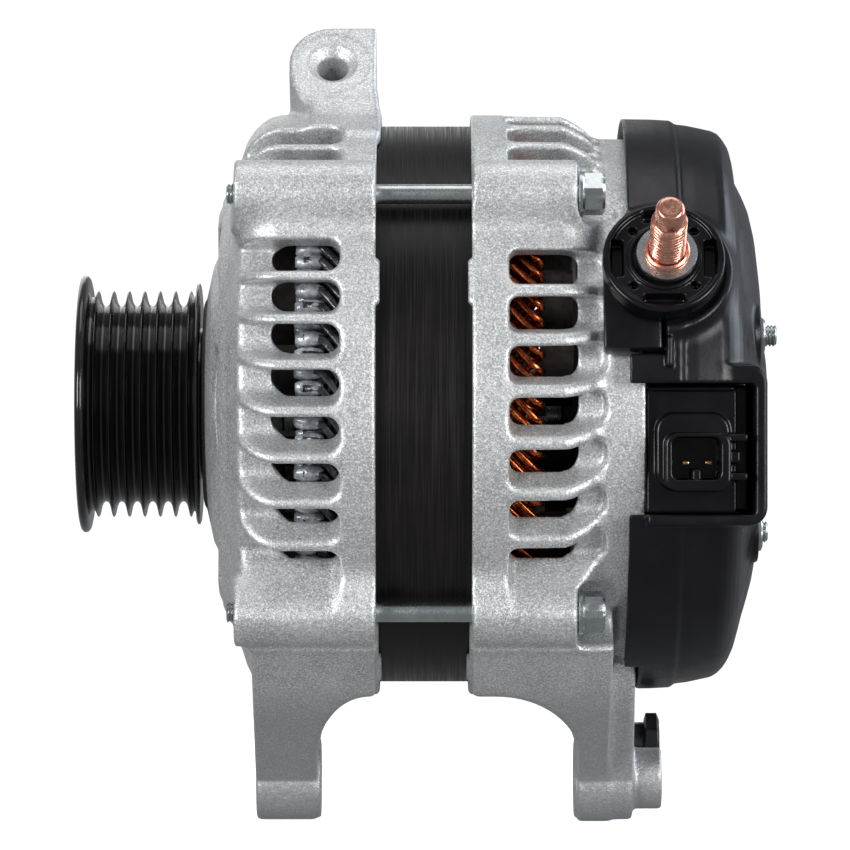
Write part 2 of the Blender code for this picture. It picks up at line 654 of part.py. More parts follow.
def make_brush_gear():
    holder = box(123.0, 145.2, -33.5, -9.0, -6.5, 6.5)
    pockets = []
    for index, x in ((1, 128.6), (2, 138.6)):
        pockets.append(box(x - 3.5, x + 3.5, -32.0, -8.0, -4.8, 4.8))
        slide = axis_empty(f"brush_{index}_slide", (x, -8, 0))
        brush = box(x - 3.2, x + 3.2, -23.5, -SLIP_RING_RADIUS - GAP, -4.5, 4.5)
        piece(f"brush_{index}", brush, CARBON, origin=(x, -SLIP_RING_RADIUS - GAP, 0), parent=slide)
        piece(f"brush_spring_{index}", brush_spring(x), STEEL, origin=(x, -31.7, 0))
    piece("brush_holder", holder, PLASTIC, cuts=[gathered(pockets)])


def brush_spring(x):
    """A compression spring along Y behind the brush at x."""
    turns = 4
    steps = turns * 8
    wire = 0.35
    coil = 2.3
    start, end = -23.9, -31.6
    sides = 4
    points = []
    for step in range(steps + 1):
        share = step / steps
        turn = 2 * math.pi * turns * share
        out = Vector((math.cos(turn), 0, math.sin(turn)))
        centre = Vector((x, start + (end - start) * share, 0)) + out * coil
        for corner in range(sides):
            angle = 2 * math.pi * corner / sides
            points.append(tuple(centre + (out * math.cos(angle) + Vector((0, math.sin(angle), 0))) * wire))
    faces = [list(range(sides)), list(range(steps * sides, (steps + 1) * sides))]
    for step in range(steps):
        for corner in range(sides):
            after = (corner + 1) % sides
            faces.append([step * sides + corner, step * sides + after,
                          (step + 1) * sides + after, (step + 1) * sides + corner])
    return points, faces


def make_electronics():
    """The rectifier's two cooling fins with the diodes between them, and the regulator."""
    piece("rectifier_fin_negative", sector(125.2, 127.6, 27, 54, 38, 148, 8), CAST)
    piece("rectifier_fin_positive", sector(134.4, 136.4, 27, 54, 38, 148, 8), CAST)
    for index in range(6):
        angle = 47 + index * 18.4
        piece(f"diode_{index + 1}", at_circle(rod(127.9, 134.1, 5.4, 12), 42, angle), STEEL)
    regulator = turned_to(box(125.4, 137.5, -50, -28, -15, 15), -92)
    piece("voltage_regulator", regulator, PLASTIC)


def make_bracket_bolt():
    shank = shifted(rod(111, 127.2, 4.0), y=BRACKET_BOLT_Y, z=BRACKET_BOLT_Z)
    collar = shifted(rod(REAR_FOOT[1] + GAP, 127.2, 5.2, 16), y=BRACKET_BOLT_Y, z=BRACKET_BOLT_Z)
    head = shifted(hexagon(127.0, 130.5, 13.0), y=BRACKET_BOLT_Y, z=BRACKET_BOLT_Z)
    piece("bracket_bolt", shank, MOULDING, adds=[collar, head])


def main():
    clear_scene()
    spin = axis_empty("rotor_axis", (0, 0, 0))
    make_front_case()
    make_rear_case()
    make_stator()
    make_through_bolts()
    make_bearing("front", FRONT_BEARING_X, FRONT_BEARING_WIDTH, FRONT_BEARING_BORE, FRONT_BEARING_RADIUS, 7, spin)
    make_bearing("rear", REAR_BEARING_X, REAR_BEARING_WIDTH, REAR_BEARING_BORE, REAR_BEARING_RADIUS, 7, spin)
    make_retainer()
    make_rotor(spin)
    make_fans(spin)
    make_slip_rings(spin)
    make_pulley(spin)
    make_cover()
    make_cover_fasteners()
    make_terminal()
    make_connector()
    make_brush_gear()
    make_electronics()
    make_bracket_bolt()


main()
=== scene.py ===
import math

import bmesh
import bpy
import numpy as np
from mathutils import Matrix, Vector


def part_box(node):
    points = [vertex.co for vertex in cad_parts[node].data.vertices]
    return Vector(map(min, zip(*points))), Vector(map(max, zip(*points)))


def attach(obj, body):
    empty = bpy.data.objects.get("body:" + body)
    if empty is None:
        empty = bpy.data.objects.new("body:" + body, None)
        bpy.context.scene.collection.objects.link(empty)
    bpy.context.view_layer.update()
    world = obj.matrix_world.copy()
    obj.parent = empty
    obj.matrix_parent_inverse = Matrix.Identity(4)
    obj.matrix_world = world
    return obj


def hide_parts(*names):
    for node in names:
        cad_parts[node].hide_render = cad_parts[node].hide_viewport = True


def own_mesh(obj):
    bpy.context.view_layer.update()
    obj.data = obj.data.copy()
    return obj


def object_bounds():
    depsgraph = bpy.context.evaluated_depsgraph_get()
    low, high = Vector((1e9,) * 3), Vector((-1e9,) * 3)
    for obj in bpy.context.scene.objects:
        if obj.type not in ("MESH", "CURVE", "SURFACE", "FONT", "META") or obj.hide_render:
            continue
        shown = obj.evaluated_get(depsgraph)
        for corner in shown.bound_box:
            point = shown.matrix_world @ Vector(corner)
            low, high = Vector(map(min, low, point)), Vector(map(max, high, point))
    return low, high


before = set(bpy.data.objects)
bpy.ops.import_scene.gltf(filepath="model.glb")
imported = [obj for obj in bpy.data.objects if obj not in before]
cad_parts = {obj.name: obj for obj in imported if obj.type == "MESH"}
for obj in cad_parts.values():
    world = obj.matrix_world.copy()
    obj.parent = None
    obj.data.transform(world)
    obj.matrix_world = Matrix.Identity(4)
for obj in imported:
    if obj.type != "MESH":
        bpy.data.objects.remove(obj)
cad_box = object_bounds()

import openvdb
from mathutils import Matrix, Vector

# Lengths in this file are millimetres in the row frame, and MM turns them into metres.
# Angles round the shaft start at -Y and rise towards +Z.
MM = 0.001
TURN = 2 * math.pi

BODY_RADIUS = 66.6
CORE_START = 59.0
CORE_END = 93.0
CORE_BORE = 49.2
CORE_RADIUS = 64.0
BOLT_CIRCLE = 67.5
BOLT_ANGLES = (43.5, 136.5, 223.5, -43.5)
BOSS_RADIUS = 7.6
BOSS_BLEND = 6.5
BOLT_BORE = 2.5
FRONT_CASE_END = 65.1
REAR_CASE_START = 86.4
FRONT_SLOTS = 40
FRONT_SLOT_START = 2.6
REAR_SLOTS = 36
REAR_SLOT_START = -3.0
SLOT_CLEARANCE = 10.0
SLOT_SKEW = 22.0
SLOT_DRAFT = 0.087
SLOT_WINDOW = 15.0
GROOVE_FLOOR = 58.9
WINDOW_FLOOR = 48.0
PIVOT_Z = -86.4
PIVOT_BORE = 4.6
EAR_RADIUS = 9.5
PIVOT_BOSS_RADIUS = 9.0
WIDE_EAR = (49.0, -55.0)
NARROW_EAR = (24.0, -59.0)
WEB_TOP = -66.0
BRACKET_BOLT = (13.0, -79.5)
TERMINAL_X = 128.5
TERMINAL_ANGLE = 27.0
TERMINAL_BASE_ANGLE = 20.5
STUD_LEAN = 0.6
STUD_CIRCLE = 40.0
STUD_ANGLES = (22.3, 157.7, -46.5)
STUD_ENDS = (154.8, 154.8, 153.4)
HAIRPINS = 96
SLOT_BOTTOM = 51.0
WELD_TWIST = 6.9
FAN_BLADES = 15
HEX_SIDES = 48
FAR = 9.0
# Stations and radius of the casings' inside, where the colour is darkened as painted shade.
PAINTED_SHADE_INSIDE = (38.0, 111.0, 58.2)
KEPT_EDGE = 0.2


# ---------------------------------------------------------------- camera

def make_camera():
    """The view along +Y, level with the shaft and square to it."""
    data = bpy.data.cameras.new("view")
    data.sensor_width = 36.0
    data.lens = 238.4
    data.clip_end = 20.0
    camera = bpy.data.objects.new("view", data)
    camera.location = (0.076, -1.3, -0.00485)
    camera.rotation_euler = (math.radians(90), 0, 0)
    bpy.context.scene.collection.objects.link(camera)
    bpy.context.scene.camera = camera


# ---------------------------------------------------------------- materials

class Look:
    """A node material on one Principled shader, with every texture read in object space."""

    def __init__(self, name, colour, roughness, metallic=0.0):
        self.material = bpy.data.materials.new(name)
        self.material.use_nodes = True
        self.tree = self.material.node_tree
        self.shader = self.tree.nodes["Principled BSDF"]
        self.shader.inputs["Base Color"].default_value = (*colour, 1.0)
        self.shader.inputs["Roughness"].default_value = roughness
        self.shader.inputs["Metallic"].default_value = metallic
        self.place = self.tree.nodes.new("ShaderNodeTexCoord").outputs["Object"]
        self.normal = None

    def node(self, kind, **settings):
        made = self.tree.nodes.new(kind)
        for key, value in settings.items():
            setattr(made, key, value)
        return made

    def link(self, output, socket):
        self.tree.links.new(output, socket)

    def stretched(self, scale):
        """Object coordinates scaled by axis, which draws a texture out into lines."""
        mapping = self.node("ShaderNodeMapping")
        mapping.inputs["Scale"].default_value = scale
        self.link(self.place, mapping.inputs["Vector"])
        return mapping.outputs["Vector"]

    def noise(self, size, detail=2.0, rough=0.5, vector=None):
        """Noise whose grains are about size millimetres across."""
        made = self.node("ShaderNodeTexNoise")
        made.inputs["Scale"].default_value = 1 / (size * MM)
        made.inputs["Detail"].default_value = detail
        made.inputs["Roughness"].default_value = rough
        self.link(vector or self.place, made.inputs["Vector"])
        return made.outputs["Fac"]

    def spread(self, value, low, high, to_low=0.0, to_high=1.0):
        """Maps a value from low and high to two others, and holds it between them."""
        made = self.node("ShaderNodeMapRange", clamp=True)
        sockets = ("From Min", "From Max", "To Min", "To Max")
        for socket, number in zip(sockets, (low, high, to_low, to_high)):
            made.inputs[socket].default_value = number
        self.link(value, made.inputs["Value"])
        return made.outputs["Result"]

    def separated(self):
        parts = self.node("ShaderNodeSeparateXYZ")
        self.link(self.place, parts.inputs["Vector"])
        return parts

    def inside(self, low_x, high_x, radius):
        """One within a length of the shaft and nearer to it than radius, zero elsewhere."""
        parts = self.separated()
        flat = self.node("ShaderNodeCombineXYZ")
        self.link(parts.outputs["Y"], flat.inputs["Y"])
        self.link(parts.outputs["Z"], flat.inputs["Z"])
        length = self.node("ShaderNodeVectorMath", operation="LENGTH")
        self.link(flat.outputs["Vector"], length.inputs[0])
        near = self.spread(length.outputs["Value"], (radius - 0.5) * MM, (radius + 0.5) * MM, 1.0, 0.0)
        after = self.spread(parts.outputs["X"], (low_x - 1) * MM, low_x * MM)
        before = self.spread(parts.outputs["X"], high_x * MM, (high_x + 1) * MM, 1.0, 0.0)
        return self.product(near, self.product(after, before))

    def under(self, height):
        """One well below a height, and zero above it."""
        parts = self.separated()
        return self.spread(parts.outputs["Z"], (height - 5) * MM, (height + 3) * MM, 1.0, 0.0)

    def product(self, first, second):
        made = self.node("ShaderNodeMath", operation="MULTIPLY")
        self.link(first, made.inputs[0])
        self.link(second, made.inputs[1])
        return made.outputs["Value"]

    def ramp(self, value, stops):
        made = self.node("ShaderNodeValToRGB")
        points = made.color_ramp.elements
        while len(points) < len(stops):
            points.new(0.5)
        for point, (position, colour) in zip(points, stops):
            point.position = position
            point.color = (*colour, 1.0)
        self.link(value, made.inputs["Fac"])
        return made.outputs["Color"]

    def mixed(self, factor, first, second):
        made = self.node("ShaderNodeMix", data_type="RGBA")
        self.link(factor, made.inputs["Factor"])
        for socket, value in ((made.inputs["A"], first), (made.inputs["B"], second)):
            if isinstance(value, tuple):
                socket.default_value = (*value, 1.0)
            else:
                self.link(value, socket)
        return made.outputs["Result"]

    def colour(self, value):
        self.link(value, self.shader.inputs["Base Color"])

    def roughness(self, value):
        self.link(value, self.shader.inputs["Roughness"])

    def bump(self, height, depth):
        """Adds relief of depth millimetres on top of the relief already there."""
        made = self.node("ShaderNodeBump")
        made.inputs["Distance"].default_value = depth * MM
        self.link(height, made.inputs["Height"])
        if self.normal:
            self.link(self.normal, made.inputs["Normal"])
        self.normal = made.outputs["Normal"]
        self.link(self.normal, self.shader.inputs["Normal"])


def scaled(colour, factor):
    return tuple(part * factor for part in colour)


def cast_look(name, dark, light, rough):
    """Die-cast aluminium: a sparkling skin with a soft mottle, feet painted greyer as shade, and an inside
    painted dark as shade.
    """
    look = Look(name, light, rough, 0.72)
    mottle = look.noise(9.0, 3.0, 0.55)
    speck = look.noise(0.42, 2.0, 0.75)
    tone = look.ramp(mottle, [(0.3, dark), (0.7, light)])
    glint = look.spread(speck, 0.45, 0.66)
    skin = look.mixed(glint, tone, scaled(light, 1.55))
    pit = look.spread(speck, 0.22, 0.40, 1.0, 0.0)
    pitted = look.product(pit, look.spread(mottle, 0.2, 0.8))
    skin = look.mixed(pitted, skin, scaled(dark, 0.40))
    # Painted shade: below the top of the foot web the colour drops to a darker grey, darker towards the
    # bottom.
    skin = look.mixed(look.under(WEB_TOP), skin, look.mixed(glint, dark, light))
    # Painted shade: inside the casings, near the shaft, the colour is darkened to a sixth of the dark tone.
    look.colour(look.mixed(look.inside(*PAINTED_SHADE_INSIDE), skin, scaled(dark, 0.16)))
    patches = look.noise(0.8, 2.0, 0.6)
    look.roughness(look.spread(patches, 0.3, 0.7, rough - 0.10, rough + 0.14))
    look.bump(look.noise(3.5, 2.0, 0.5), 0.08)
    look.bump(look.noise(0.5, 2.0, 0.65), 0.13)
    return look.material


def metal_look(name, colour, rough, tint=None, turned=False, grain=0.01):
    """Machined or plated metal, with fine tool lines round the X axis when it is turned."""
    look = Look(name, colour, rough, 1.0)
    clouds = look.spread(look.noise(4.0, 3.0, 0.6), 0.35, 0.65)
    look.colour(look.mixed(clouds, colour, tint or scaled(colour, 0.82)))
    vector = look.stretched((1.0, 0.02, 0.02)) if turned else None
    lines = look.noise(0.25, 2.0, 0.6, vector)
    look.roughness(look.spread(lines, 0.3, 0.7, rough - 0.08, rough + 0.1))
    look.bump(lines, grain)
    return look.material


def plastic_look(name, colour, rough, mark=None, grain=0.02, coat=0.0):
    """Moulded glass-filled plastic: almost smooth, with a fine grain and cloudy sheen."""
    look = Look(name, colour, rough)
    lighter = mark or tuple(part * 1.7 + 0.004 for part in colour)
    look.colour(look.mixed(look.spread(look.noise(12.0, 3.0, 0.6), 0.4, 0.75), colour, lighter))
    look.roughness(look.spread(look.noise(6.0, 4.0, 0.65), 0.3, 0.7, rough - 0.05, rough + 0.09))
    look.bump(look.noise(0.45, 3.0, 0.6), grain)
    look.bump(look.noise(14.0, 2.0, 0.5), 0.12)
    look.shader.inputs["Specular IOR Level"].default_value = 0.30
    look.shader.inputs["Coat Weight"].default_value = coat
    look.shader.inputs["Coat Roughness"].default_value = 0.12
    return look.material


def laminated_look():
    """Black-varnished stator stack: hair-fine sheet edges across the shaft, brownish where it is rubbed."""
    look = Look("laminated_core", (0.008, 0.007, 0.007), 0.34)
    look.shader.inputs["Specular IOR Level"].default_value = 0.26
    sheets = look.noise(0.32, 2.0, 0.7, look.stretched((1.0, 0.012, 0.012)))
    wear = look.noise(22.0, 3.0, 0.6)
    base = look.mixed(look.spread(wear, 0.35, 0.7), (0.0025, 0.0022, 0.0025), (0.009, 0.0075, 0.007))
    look.colour(look.mixed(look.spread(sheets, 0.5, 0.75), base, (0.018, 0.015, 0.014)))
    look.roughness(look.spread(sheets, 0.3, 0.7, 0.26, 0.5))
    look.bump(sheets, 0.06)
    return look.material


def copper_look(name, bright, deep, rough, grain=0.03):
    look = Look(name, bright, rough, 1.0)
    look.colour(look.mixed(look.spread(look.noise(1.6, 3.0, 0.65), 0.38, 0.62), bright, deep))
    look.roughness(look.spread(look.noise(0.7, 2.0), 0.3, 0.7, rough - 0.08, rough + 0.12))
    look.bump(look.noise(0.5, 2.0), grain)
    return look.material


def varnish_look(name, colour, second, rough):
    """Dip-varnished wire: glossy resin with runs and beads."""
    look = Look(name, colour, rough, 0.25)
    look.colour(look.mixed(look.spread(look.noise(2.2, 3.0, 0.6), 0.4, 0.62), colour, second))
    look.roughness(look.spread(look.noise(1.0, 2.0), 0.3, 0.7, rough - 0.08, rough + 0.15))
    look.bump(look.noise(1.3, 2.0, 0.55), 0.22)
    look.shader.inputs["Coat Weight"].default_value = 0.4
    look.shader.inputs["Coat Roughness"].default_value = 0.15
    return look.material


def floor_look():
    look = Look("studio_floor", (0.90, 0.90, 0.90), 0.75)
    look.shader.inputs["Emission Color"].default_value = (1.0, 1.0, 1.0, 1.0)
    look.shader.inputs["Emission Strength"].default_value = 0.80
    look.roughness(look.spread(look.noise(60.0), 0.3, 0.7, 0.7, 0.8))
    return look.material


LOOKS = {
    "cast": cast_look("cast_aluminium", (0.46, 0.47, 0.475), (0.62, 0.63, 0.635), 0.46),
    "zinc": metal_look("zinc_plate", (0.56, 0.62, 0.58), 0.28, (0.48, 0.50, 0.53)),
    "steel": metal_look("bearing_steel", (0.52, 0.52, 0.53), 0.26, turned=True),
    "fan": metal_look("fan_steel", (0.22, 0.20, 0.19), 0.42, (0.12, 0.10, 0.09)),
    "iron": metal_look("pole_iron", (0.11, 0.09, 0.085), 0.45, (0.06, 0.05, 0.045), grain=0.03),
    "core": laminated_look(),
    "copper": copper_look("winding_copper", (0.62, 0.16, 0.05), (0.24, 0.04, 0.015), 0.24),
    "varnish": varnish_look("winding_varnish", (0.020, 0.020, 0.024), (0.075, 0.075, 0.085), 0.22),
    "resin": varnish_look("weld_resin", (0.26, 0.27, 0.30), (0.60, 0.62, 0.66), 0.22),
    "stud": copper_look("terminal_copper", (0.93, 0.50, 0.38), (0.80, 0.34, 0.24), 0.24, 0.02),
    "rings": copper_look("slip_ring_copper", (0.80, 0.42, 0.24), (0.66, 0.32, 0.17), 0.22, 0.01),
    "washer": metal_look("washer_plate", (0.56, 0.58, 0.57), 0.30, (0.46, 0.48, 0.50)),
    "pulley": plastic_look("pulley_black", (0.006, 0.0055, 0.006), 0.13, grain=0.006, coat=0.6),
    "cover": plastic_look("cover_plastic", (0.0045, 0.0045, 0.007), 0.30, (0.007, 0.007, 0.010)),
    "moulding": plastic_look("black_moulding", (0.004, 0.004, 0.005), 0.20, (0.007, 0.006, 0.008), 0.012),
    "inner": plastic_look("inner_moulding", (0.020, 0.018, 0.018), 0.42),
    "bolt": plastic_look("bolt_black", (0.010, 0.010, 0.011), 0.30, grain=0.015, coat=0.3),
    "carbon": plastic_look("brush_carbon", (0.030, 0.030, 0.032), 0.55, grain=0.05),
    "brass": copper_look("pin_brass", (0.86, 0.55, 0.20), (0.62, 0.36, 0.12), 0.2, 0.01),
    "floor": floor_look(),
}


# ---------------------------------------------------------------- meshes

def add_mesh(name, points, faces, look, sharp=None):
    """An object from points in millimetres. Edges sharper than sharp degrees stay hard."""
    data = bpy.data.meshes.new(name)
    data.from_pydata([tuple(point) for point in np.asarray(points, float) * MM], [], faces)
    data.materials.append(LOOKS[look])
    obj = bpy.data.objects.new(name, data)
    bpy.context.scene.collection.objects.link(obj)
    shape = bmesh.new()
    shape.from_mesh(data)
    bmesh.ops.recalc_face_normals(shape, faces=shape.faces)
    shape.to_mesh(data)
    shape.free()
    data.shade_smooth()
    if sharp:
        data.set_sharp_from_angle(angle=math.radians(sharp))
    return obj


def field_mesh(name, field, space, look):
    """The zero surface of a distance field that was sampled in a space."""
    band = 3 * space.step
    grid = openvdb.FloatGrid(background=band)
    grid.copyFromArray(np.clip(field, -band, band).astype(np.float32))
    grid.transform = openvdb.createLinearTransform(voxelSize=space.step)
    points, triangles, quads = grid.convertToPolygons(isovalue=0.0, adaptivity=0.0)
    points = np.asarray(points, float) + np.array(space.low)
    corners = np.concatenate([np.asarray(triangles).ravel(), np.asarray(quads).ravel()]).astype(np.int32)
    sizes = np.concatenate([np.full(len(triangles), 3), np.full(len(quads), 4)]).astype(np.int32)
    data = bpy.data.meshes.new(name)
    data.vertices.add(len(points))
    data.vertices.foreach_set("co", (points * MM).astype(np.float32).ravel())
    data.loops.add(len(corners))
    data.loops.foreach_set("vertex_index", corners)
    data.polygons.add(len(sizes))
    data.polygons.foreach_set("loop_start", (np.cumsum(sizes) - sizes).astype(np.int32))
    data.update(calc_edges=True)
    data.validate()
    data.materials.append(LOOKS[look])
    data.shade_smooth()
    obj = bpy.data.objects.new(name, data)
    bpy.context.scene.collection.objects.link(obj)
    return obj


def finish_piece(obj, nodes=(), body="housing"):
    """Hides the CAD nodes that a piece replaces and hangs the piece on the body that it rides."""
    if nodes:
        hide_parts(*nodes)
    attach(obj, body)


def ring_point(x, radius, turn):
    """The point at a station and a distance from the X axis, turned by an angle in radians."""
    return x, -radius * math.cos(turn), radius * math.sin(turn)


def ring_faces(rings, sides, closed=False):
    """Quads that join each ring of points to the next one, and the last to the first when closed."""
    faces = []
    for ring in range(rings if closed else rings - 1):
        here = ring * sides
        beyond = (ring + 1) % rings * sides
        for step in range(sides):
            after = (step + 1) % sides
            faces.append([here + step, here + after, beyond + after, beyond + step])
    return faces


def end_caps(rings, sides):
    return [list(range(sides)), list(range((rings - 1) * sides, rings * sides))]


def lathe(profile, sides):
    """Points and faces of a closed profile of (x, radius) turned round the X axis."""
    points = []
    for step in range(sides):
        points += [ring_point(x, radius, TURN * step / sides) for x, radius in profile]
    return points, ring_faces(sides, len(profile), closed=True)


def joined(shapes):
    """One pair of points and faces from several."""
    points, faces = [], []
    for shape_points, shape_faces in shapes:
        base = len(points)
        points += [tuple(point) for point in shape_points]
        faces += [[index + base for index in face] for face in shape_faces]
    return points, faces


def moved(shape, matrix):
    points, faces = shape
    return [tuple(matrix @ Vector(point)) for point in points], faces


def at_circle(shape, circle, angle):
    """Moves a shape drawn on the X axis to a circle round the shaft, turned to that angle."""
    turn = Matrix.Rotation(-math.radians(angle), 4, "X")
    return moved(shape, turn @ Matrix.Translation((0, -circle, 0)))


def radial_frame(x, angle):
    """Places a shape drawn along +X so that it points out from the shaft at that station and angle."""
    out = Vector((0, -math.cos(math.radians(angle)), math.sin(math.radians(angle))))
    along = Vector((-1, 0, 0))
    side = out.cross(along)
    turn = Matrix((out, side, -along)).transposed().to_4x4()
    return Matrix.Translation((x, 0, 0)) @ turn


def hex_reach(flat, turn):
    """The distance from the middle to the edge of a hexagon, whose flats are at the distance flat."""
    wedge = (turn + math.pi / 6) % (math.pi / 3) - math.pi / 6
    return flat / math.cos(wedge)


def hex_head(low, high, across, chamfer):
    """A hexagon prism along X whose corners are turned off at both ends."""
    flat = across / 2
    corner = flat / math.cos(math.pi / 6)
    rings = [(low, flat * 0.96), (low + chamfer * 0.6, corner), (high - chamfer, corner),
             (high, flat * 0.93)]
    points = []
    for x, limit in rings:
        for step in range(HEX_SIDES):
            turn = TURN * step / HEX_SIDES
            points.append(ring_point(x, min(hex_reach(flat, turn), limit), turn))
    return points, ring_faces(len(rings), HEX_SIDES) + end_caps(len(rings), HEX_SIDES)


def thread(low, high, outer, inner, pitch, sides, tip=0.6):
    """A screw thread along X, fading out at both ends, closed by flat caps."""
    rows_per_turn = 8
    rows = int((high - low) / pitch * rows_per_turn) + 1
    points = []
    for row in range(rows + 1):
        x = low + (high - low) * row / rows
        for step in range(sides):
            angle = TURN * step / sides
            phase = ((x - low) / pitch - angle / TURN) % 1.0
            height = 1 - abs(2 * phase - 1)
            radius = inner + (outer - inner) * min(1.0, max(0.0, 1.35 * height - 0.1))
            edge = min(x - low, high - x)
            radius = min(radius, inner - 0.15 + edge * 1.2 / tip) if edge < tip else radius
            points.append(ring_point(x, radius, angle))
    return points, ring_faces(rows + 1, sides) + end_caps(rows + 1, sides)


def block(low, high, edge):
    """A box with chamfered edges between two corners."""
    shape = bmesh.new()
    bmesh.ops.create_cube(shape, size=1.0)
    for vert in shape.verts:
        vert.co = Vector([(a + b) / 2 + c * (b - a) for a, b, c in zip(low, high, vert.co)])
    bmesh.ops.bevel(shape, geom=list(shape.edges), offset=edge, segments=2, affect="EDGES", profile=0.5)
    shape.verts.index_update()
    points = [tuple(vert.co) for vert in shape.verts]
    faces = [[vert.index for vert in face.verts] for face in shape.faces]
    shape.free()
    return points, faces


# ---------------------------------------------------------------- distance fields

def axes(low, high, step):
    """Sample coordinates on three axes, shaped so that they broadcast into one grid."""
    counts = [int(math.ceil((b - a) / step)) + 1 for a, b in zip(low, high)]
    lines = [a + step * np.arange(n, dtype=np.float32) for a, n in zip(low, counts)]
    return lines[0][:, None, None], lines[1][None, :, None], lines[2][None, None, :]


def polygon_distance(outline, across, up):
    """Signed distance to a closed outline, negative inside it."""
    nearest = np.full(np.broadcast(across, up).shape, np.inf, np.float32)
    inside = np.zeros(nearest.shape, bool)
    for (ax, ay), (bx, by) in zip(outline, outline[1:] + outline[:1]):
        ex, ey = bx - ax, by - ay
        wx, wy = across - ax, up - ay
        share = np.clip((wx * ex + wy * ey) / (ex * ex + ey * ey), 0, 1)
        nearest = np.minimum(nearest, (wx - ex * share) ** 2 + (wy - ey * share) ** 2)
        above, below, left = up >= ay, up < by, ex * wy > ey * wx
        inside ^= (above & below & left) | (~above & ~below & ~left)
    return np.where(inside, -1, 1) * np.sqrt(nearest)


def turned_field(outline, x, radius):
    """Distance to a profile of (x, radius) turned round the shaft."""
    samples = np.arange(0, float(radius.max()) + 1, 0.25, dtype=np.float32)
    table = polygon_distance(outline, x[:, 0, :], samples[None, :])
    out = np.empty((x.shape[0],) + radius.shape[1:], np.float32)
    for index in range(x.shape[0]):
        out[index] = np.interp(radius[0], samples, table[index])
    return out


def blend(first, second, reach):
    """Smooth union of two fields."""
    share = np.clip(0.5 + 0.5 * (second - first) / reach, 0, 1)
    return second * (1 - share) + first * share - reach * share * (1 - share)


def carve(field, cutter, reach):
    """Takes the cutter out of the field, with the edge eased over reach millimetres."""
    return -blend(-field, cutter, reach)


def meet(first, second, reach):
    """What two fields share, with the edge eased over reach millimetres."""
    return -blend(-first, -second, reach)


def box_field(across, up, centre, half, corner):
    """Distance to a rectangle with round corners."""
    dx = np.abs(across - centre[0]) - (half[0] - corner)
    dy = np.abs(up - centre[1]) - (half[1] - corner)
    outside = np.sqrt(np.maximum(dx, 0) ** 2 + np.maximum(dy, 0) ** 2)
    return outside + np.minimum(np.maximum(dx, dy), 0) - corner


def smooth_step(value, low, high):
    share = np.clip((value - low) / (high - low), 0, 1)
    return share * share * (3 - 2 * share)


def folded(angle, radius, count, start):
    """Distance across and out from the middle line of the nearest of count equal sectors."""
    pitch = 360 / count
    number = np.round((angle - start) / pitch).astype(np.int32)
    local = np.radians(angle - start - number * pitch)
    return radius * np.sin(local), radius * np.cos(local)


def apart(first, second):
    """Degrees between two directions round the shaft."""
    return abs((first - second + 180) % 360 - 180)


def slot_angles(count, start, blocked):
    """The angles of an even ring of slots, without those near a bolt or in a blocked side."""
    found = []
    for step in range(count):
        angle = start + 360 * step / count
        clear = [apart(angle, bolt) >= SLOT_CLEARANCE for bolt in BOLT_ANGLES]
        clear += [apart(angle, middle) >= half for middle, half in blocked]
        if all(clear):
            found.append(angle)
    return found


class Space:
    """A grid of samples with the coordinates that the casing shapes are drawn in."""

    def __init__(self, low, high, step):
        self.low = low
        self.step = step
        self.x, self.y, self.z = axes(low, high, step)
        self.radius = np.sqrt(self.y ** 2 + self.z ** 2)
        self.angle = np.degrees(np.arctan2(self.z, -self.y))

    def turned(self, outline):
        return turned_field(outline, self.x, self.radius)

    def toward(self, angle):
        """Distances out from the shaft and sideways, seen along one direction from it."""
        turn = math.radians(angle)
        out = -self.y * math.cos(turn) + self.z * math.sin(turn)
        return out, self.y * math.sin(turn) + self.z * math.cos(turn)

    def rod(self, y, z, radius, x_low, x_high, ease=0.4):
        flat = np.sqrt((self.y - y) ** 2 + (self.z - z) ** 2) - radius
        return meet(flat, np.maximum(x_low - self.x, self.x - x_high), ease)

    def slab(self, outline, x_low, x_high, ease):
        """An outline seen along the shaft, thickened along it."""
        flat = polygon_distance(outline, self.y, self.z)
        return meet(flat, np.maximum(x_low - self.x, self.x - x_high), ease)

    def rods(self, circle, angles, *measures):
        """Equal rods along the shaft at several angles of a circle round it."""
        found = None
        for angle in angles:
            turn = math.radians(angle)
            one = self.rod(-circle * math.cos(turn), circle * math.sin(turn), *measures)
            found = one if found is None else np.minimum(found, one)
        return found

    def at_bolts(self, *measures):
        return self.rods(BOLT_CIRCLE, BOLT_ANGLES, *measures)

    def at_studs(self, *measures):
        return self.rods(STUD_CIRCLE, STUD_ANGLES, *measures)


def leaning_slots(space, angles, x_span, floor, half, corner):
    """Slots that lean the same way round from the radial direction, and widen a little outwards."""
    field = np.full((space.x.size, space.y.size, space.z.size), FAR, np.float32)
    middle, reach = (x_span[0] + x_span[1]) / 2, (x_span[1] - x_span[0]) / 2
    for angle in angles:
        turn = math.radians(angle)
        slide = math.radians(angle - SLOT_SKEW)
        away_y = space.y + BODY_RADIUS * math.cos(turn)
        away_z = space.z - BODY_RADIUS * math.sin(turn)
        rows = np.nonzero(np.abs(away_y[0, :, 0]) < SLOT_WINDOW)[0]
        lines = np.nonzero(np.abs(away_z[0, 0, :]) < SLOT_WINDOW)[0]
        here = (slice(None), slice(rows[0], rows[-1] + 1), slice(lines[0], lines[-1] + 1))
        away_y, away_z = away_y[:, here[1], :], away_z[:, :, here[2]]
        out = away_z * math.sin(slide) - away_y * math.cos(slide)
        across = away_y * math.sin(slide) + away_z * math.cos(slide)
        slot = box_field(space.x, across, (middle, 0), (reach, half + SLOT_DRAFT * out), corner)
        slot = meet(slot, floor - space.radius[:, here[1], here[2]], 1.6)
        field[here] = np.minimum(field[here], slot)
    return field


def arc(centre, radius, start, end, steps):
    """Points on an arc between two angles in degrees."""
    points = []
    for step in range(steps + 1):
        turn = math.radians(start + (end - start) * step / steps)
        points.append((centre[0] + radius * math.cos(turn), centre[1] + radius * math.sin(turn)))
    return points


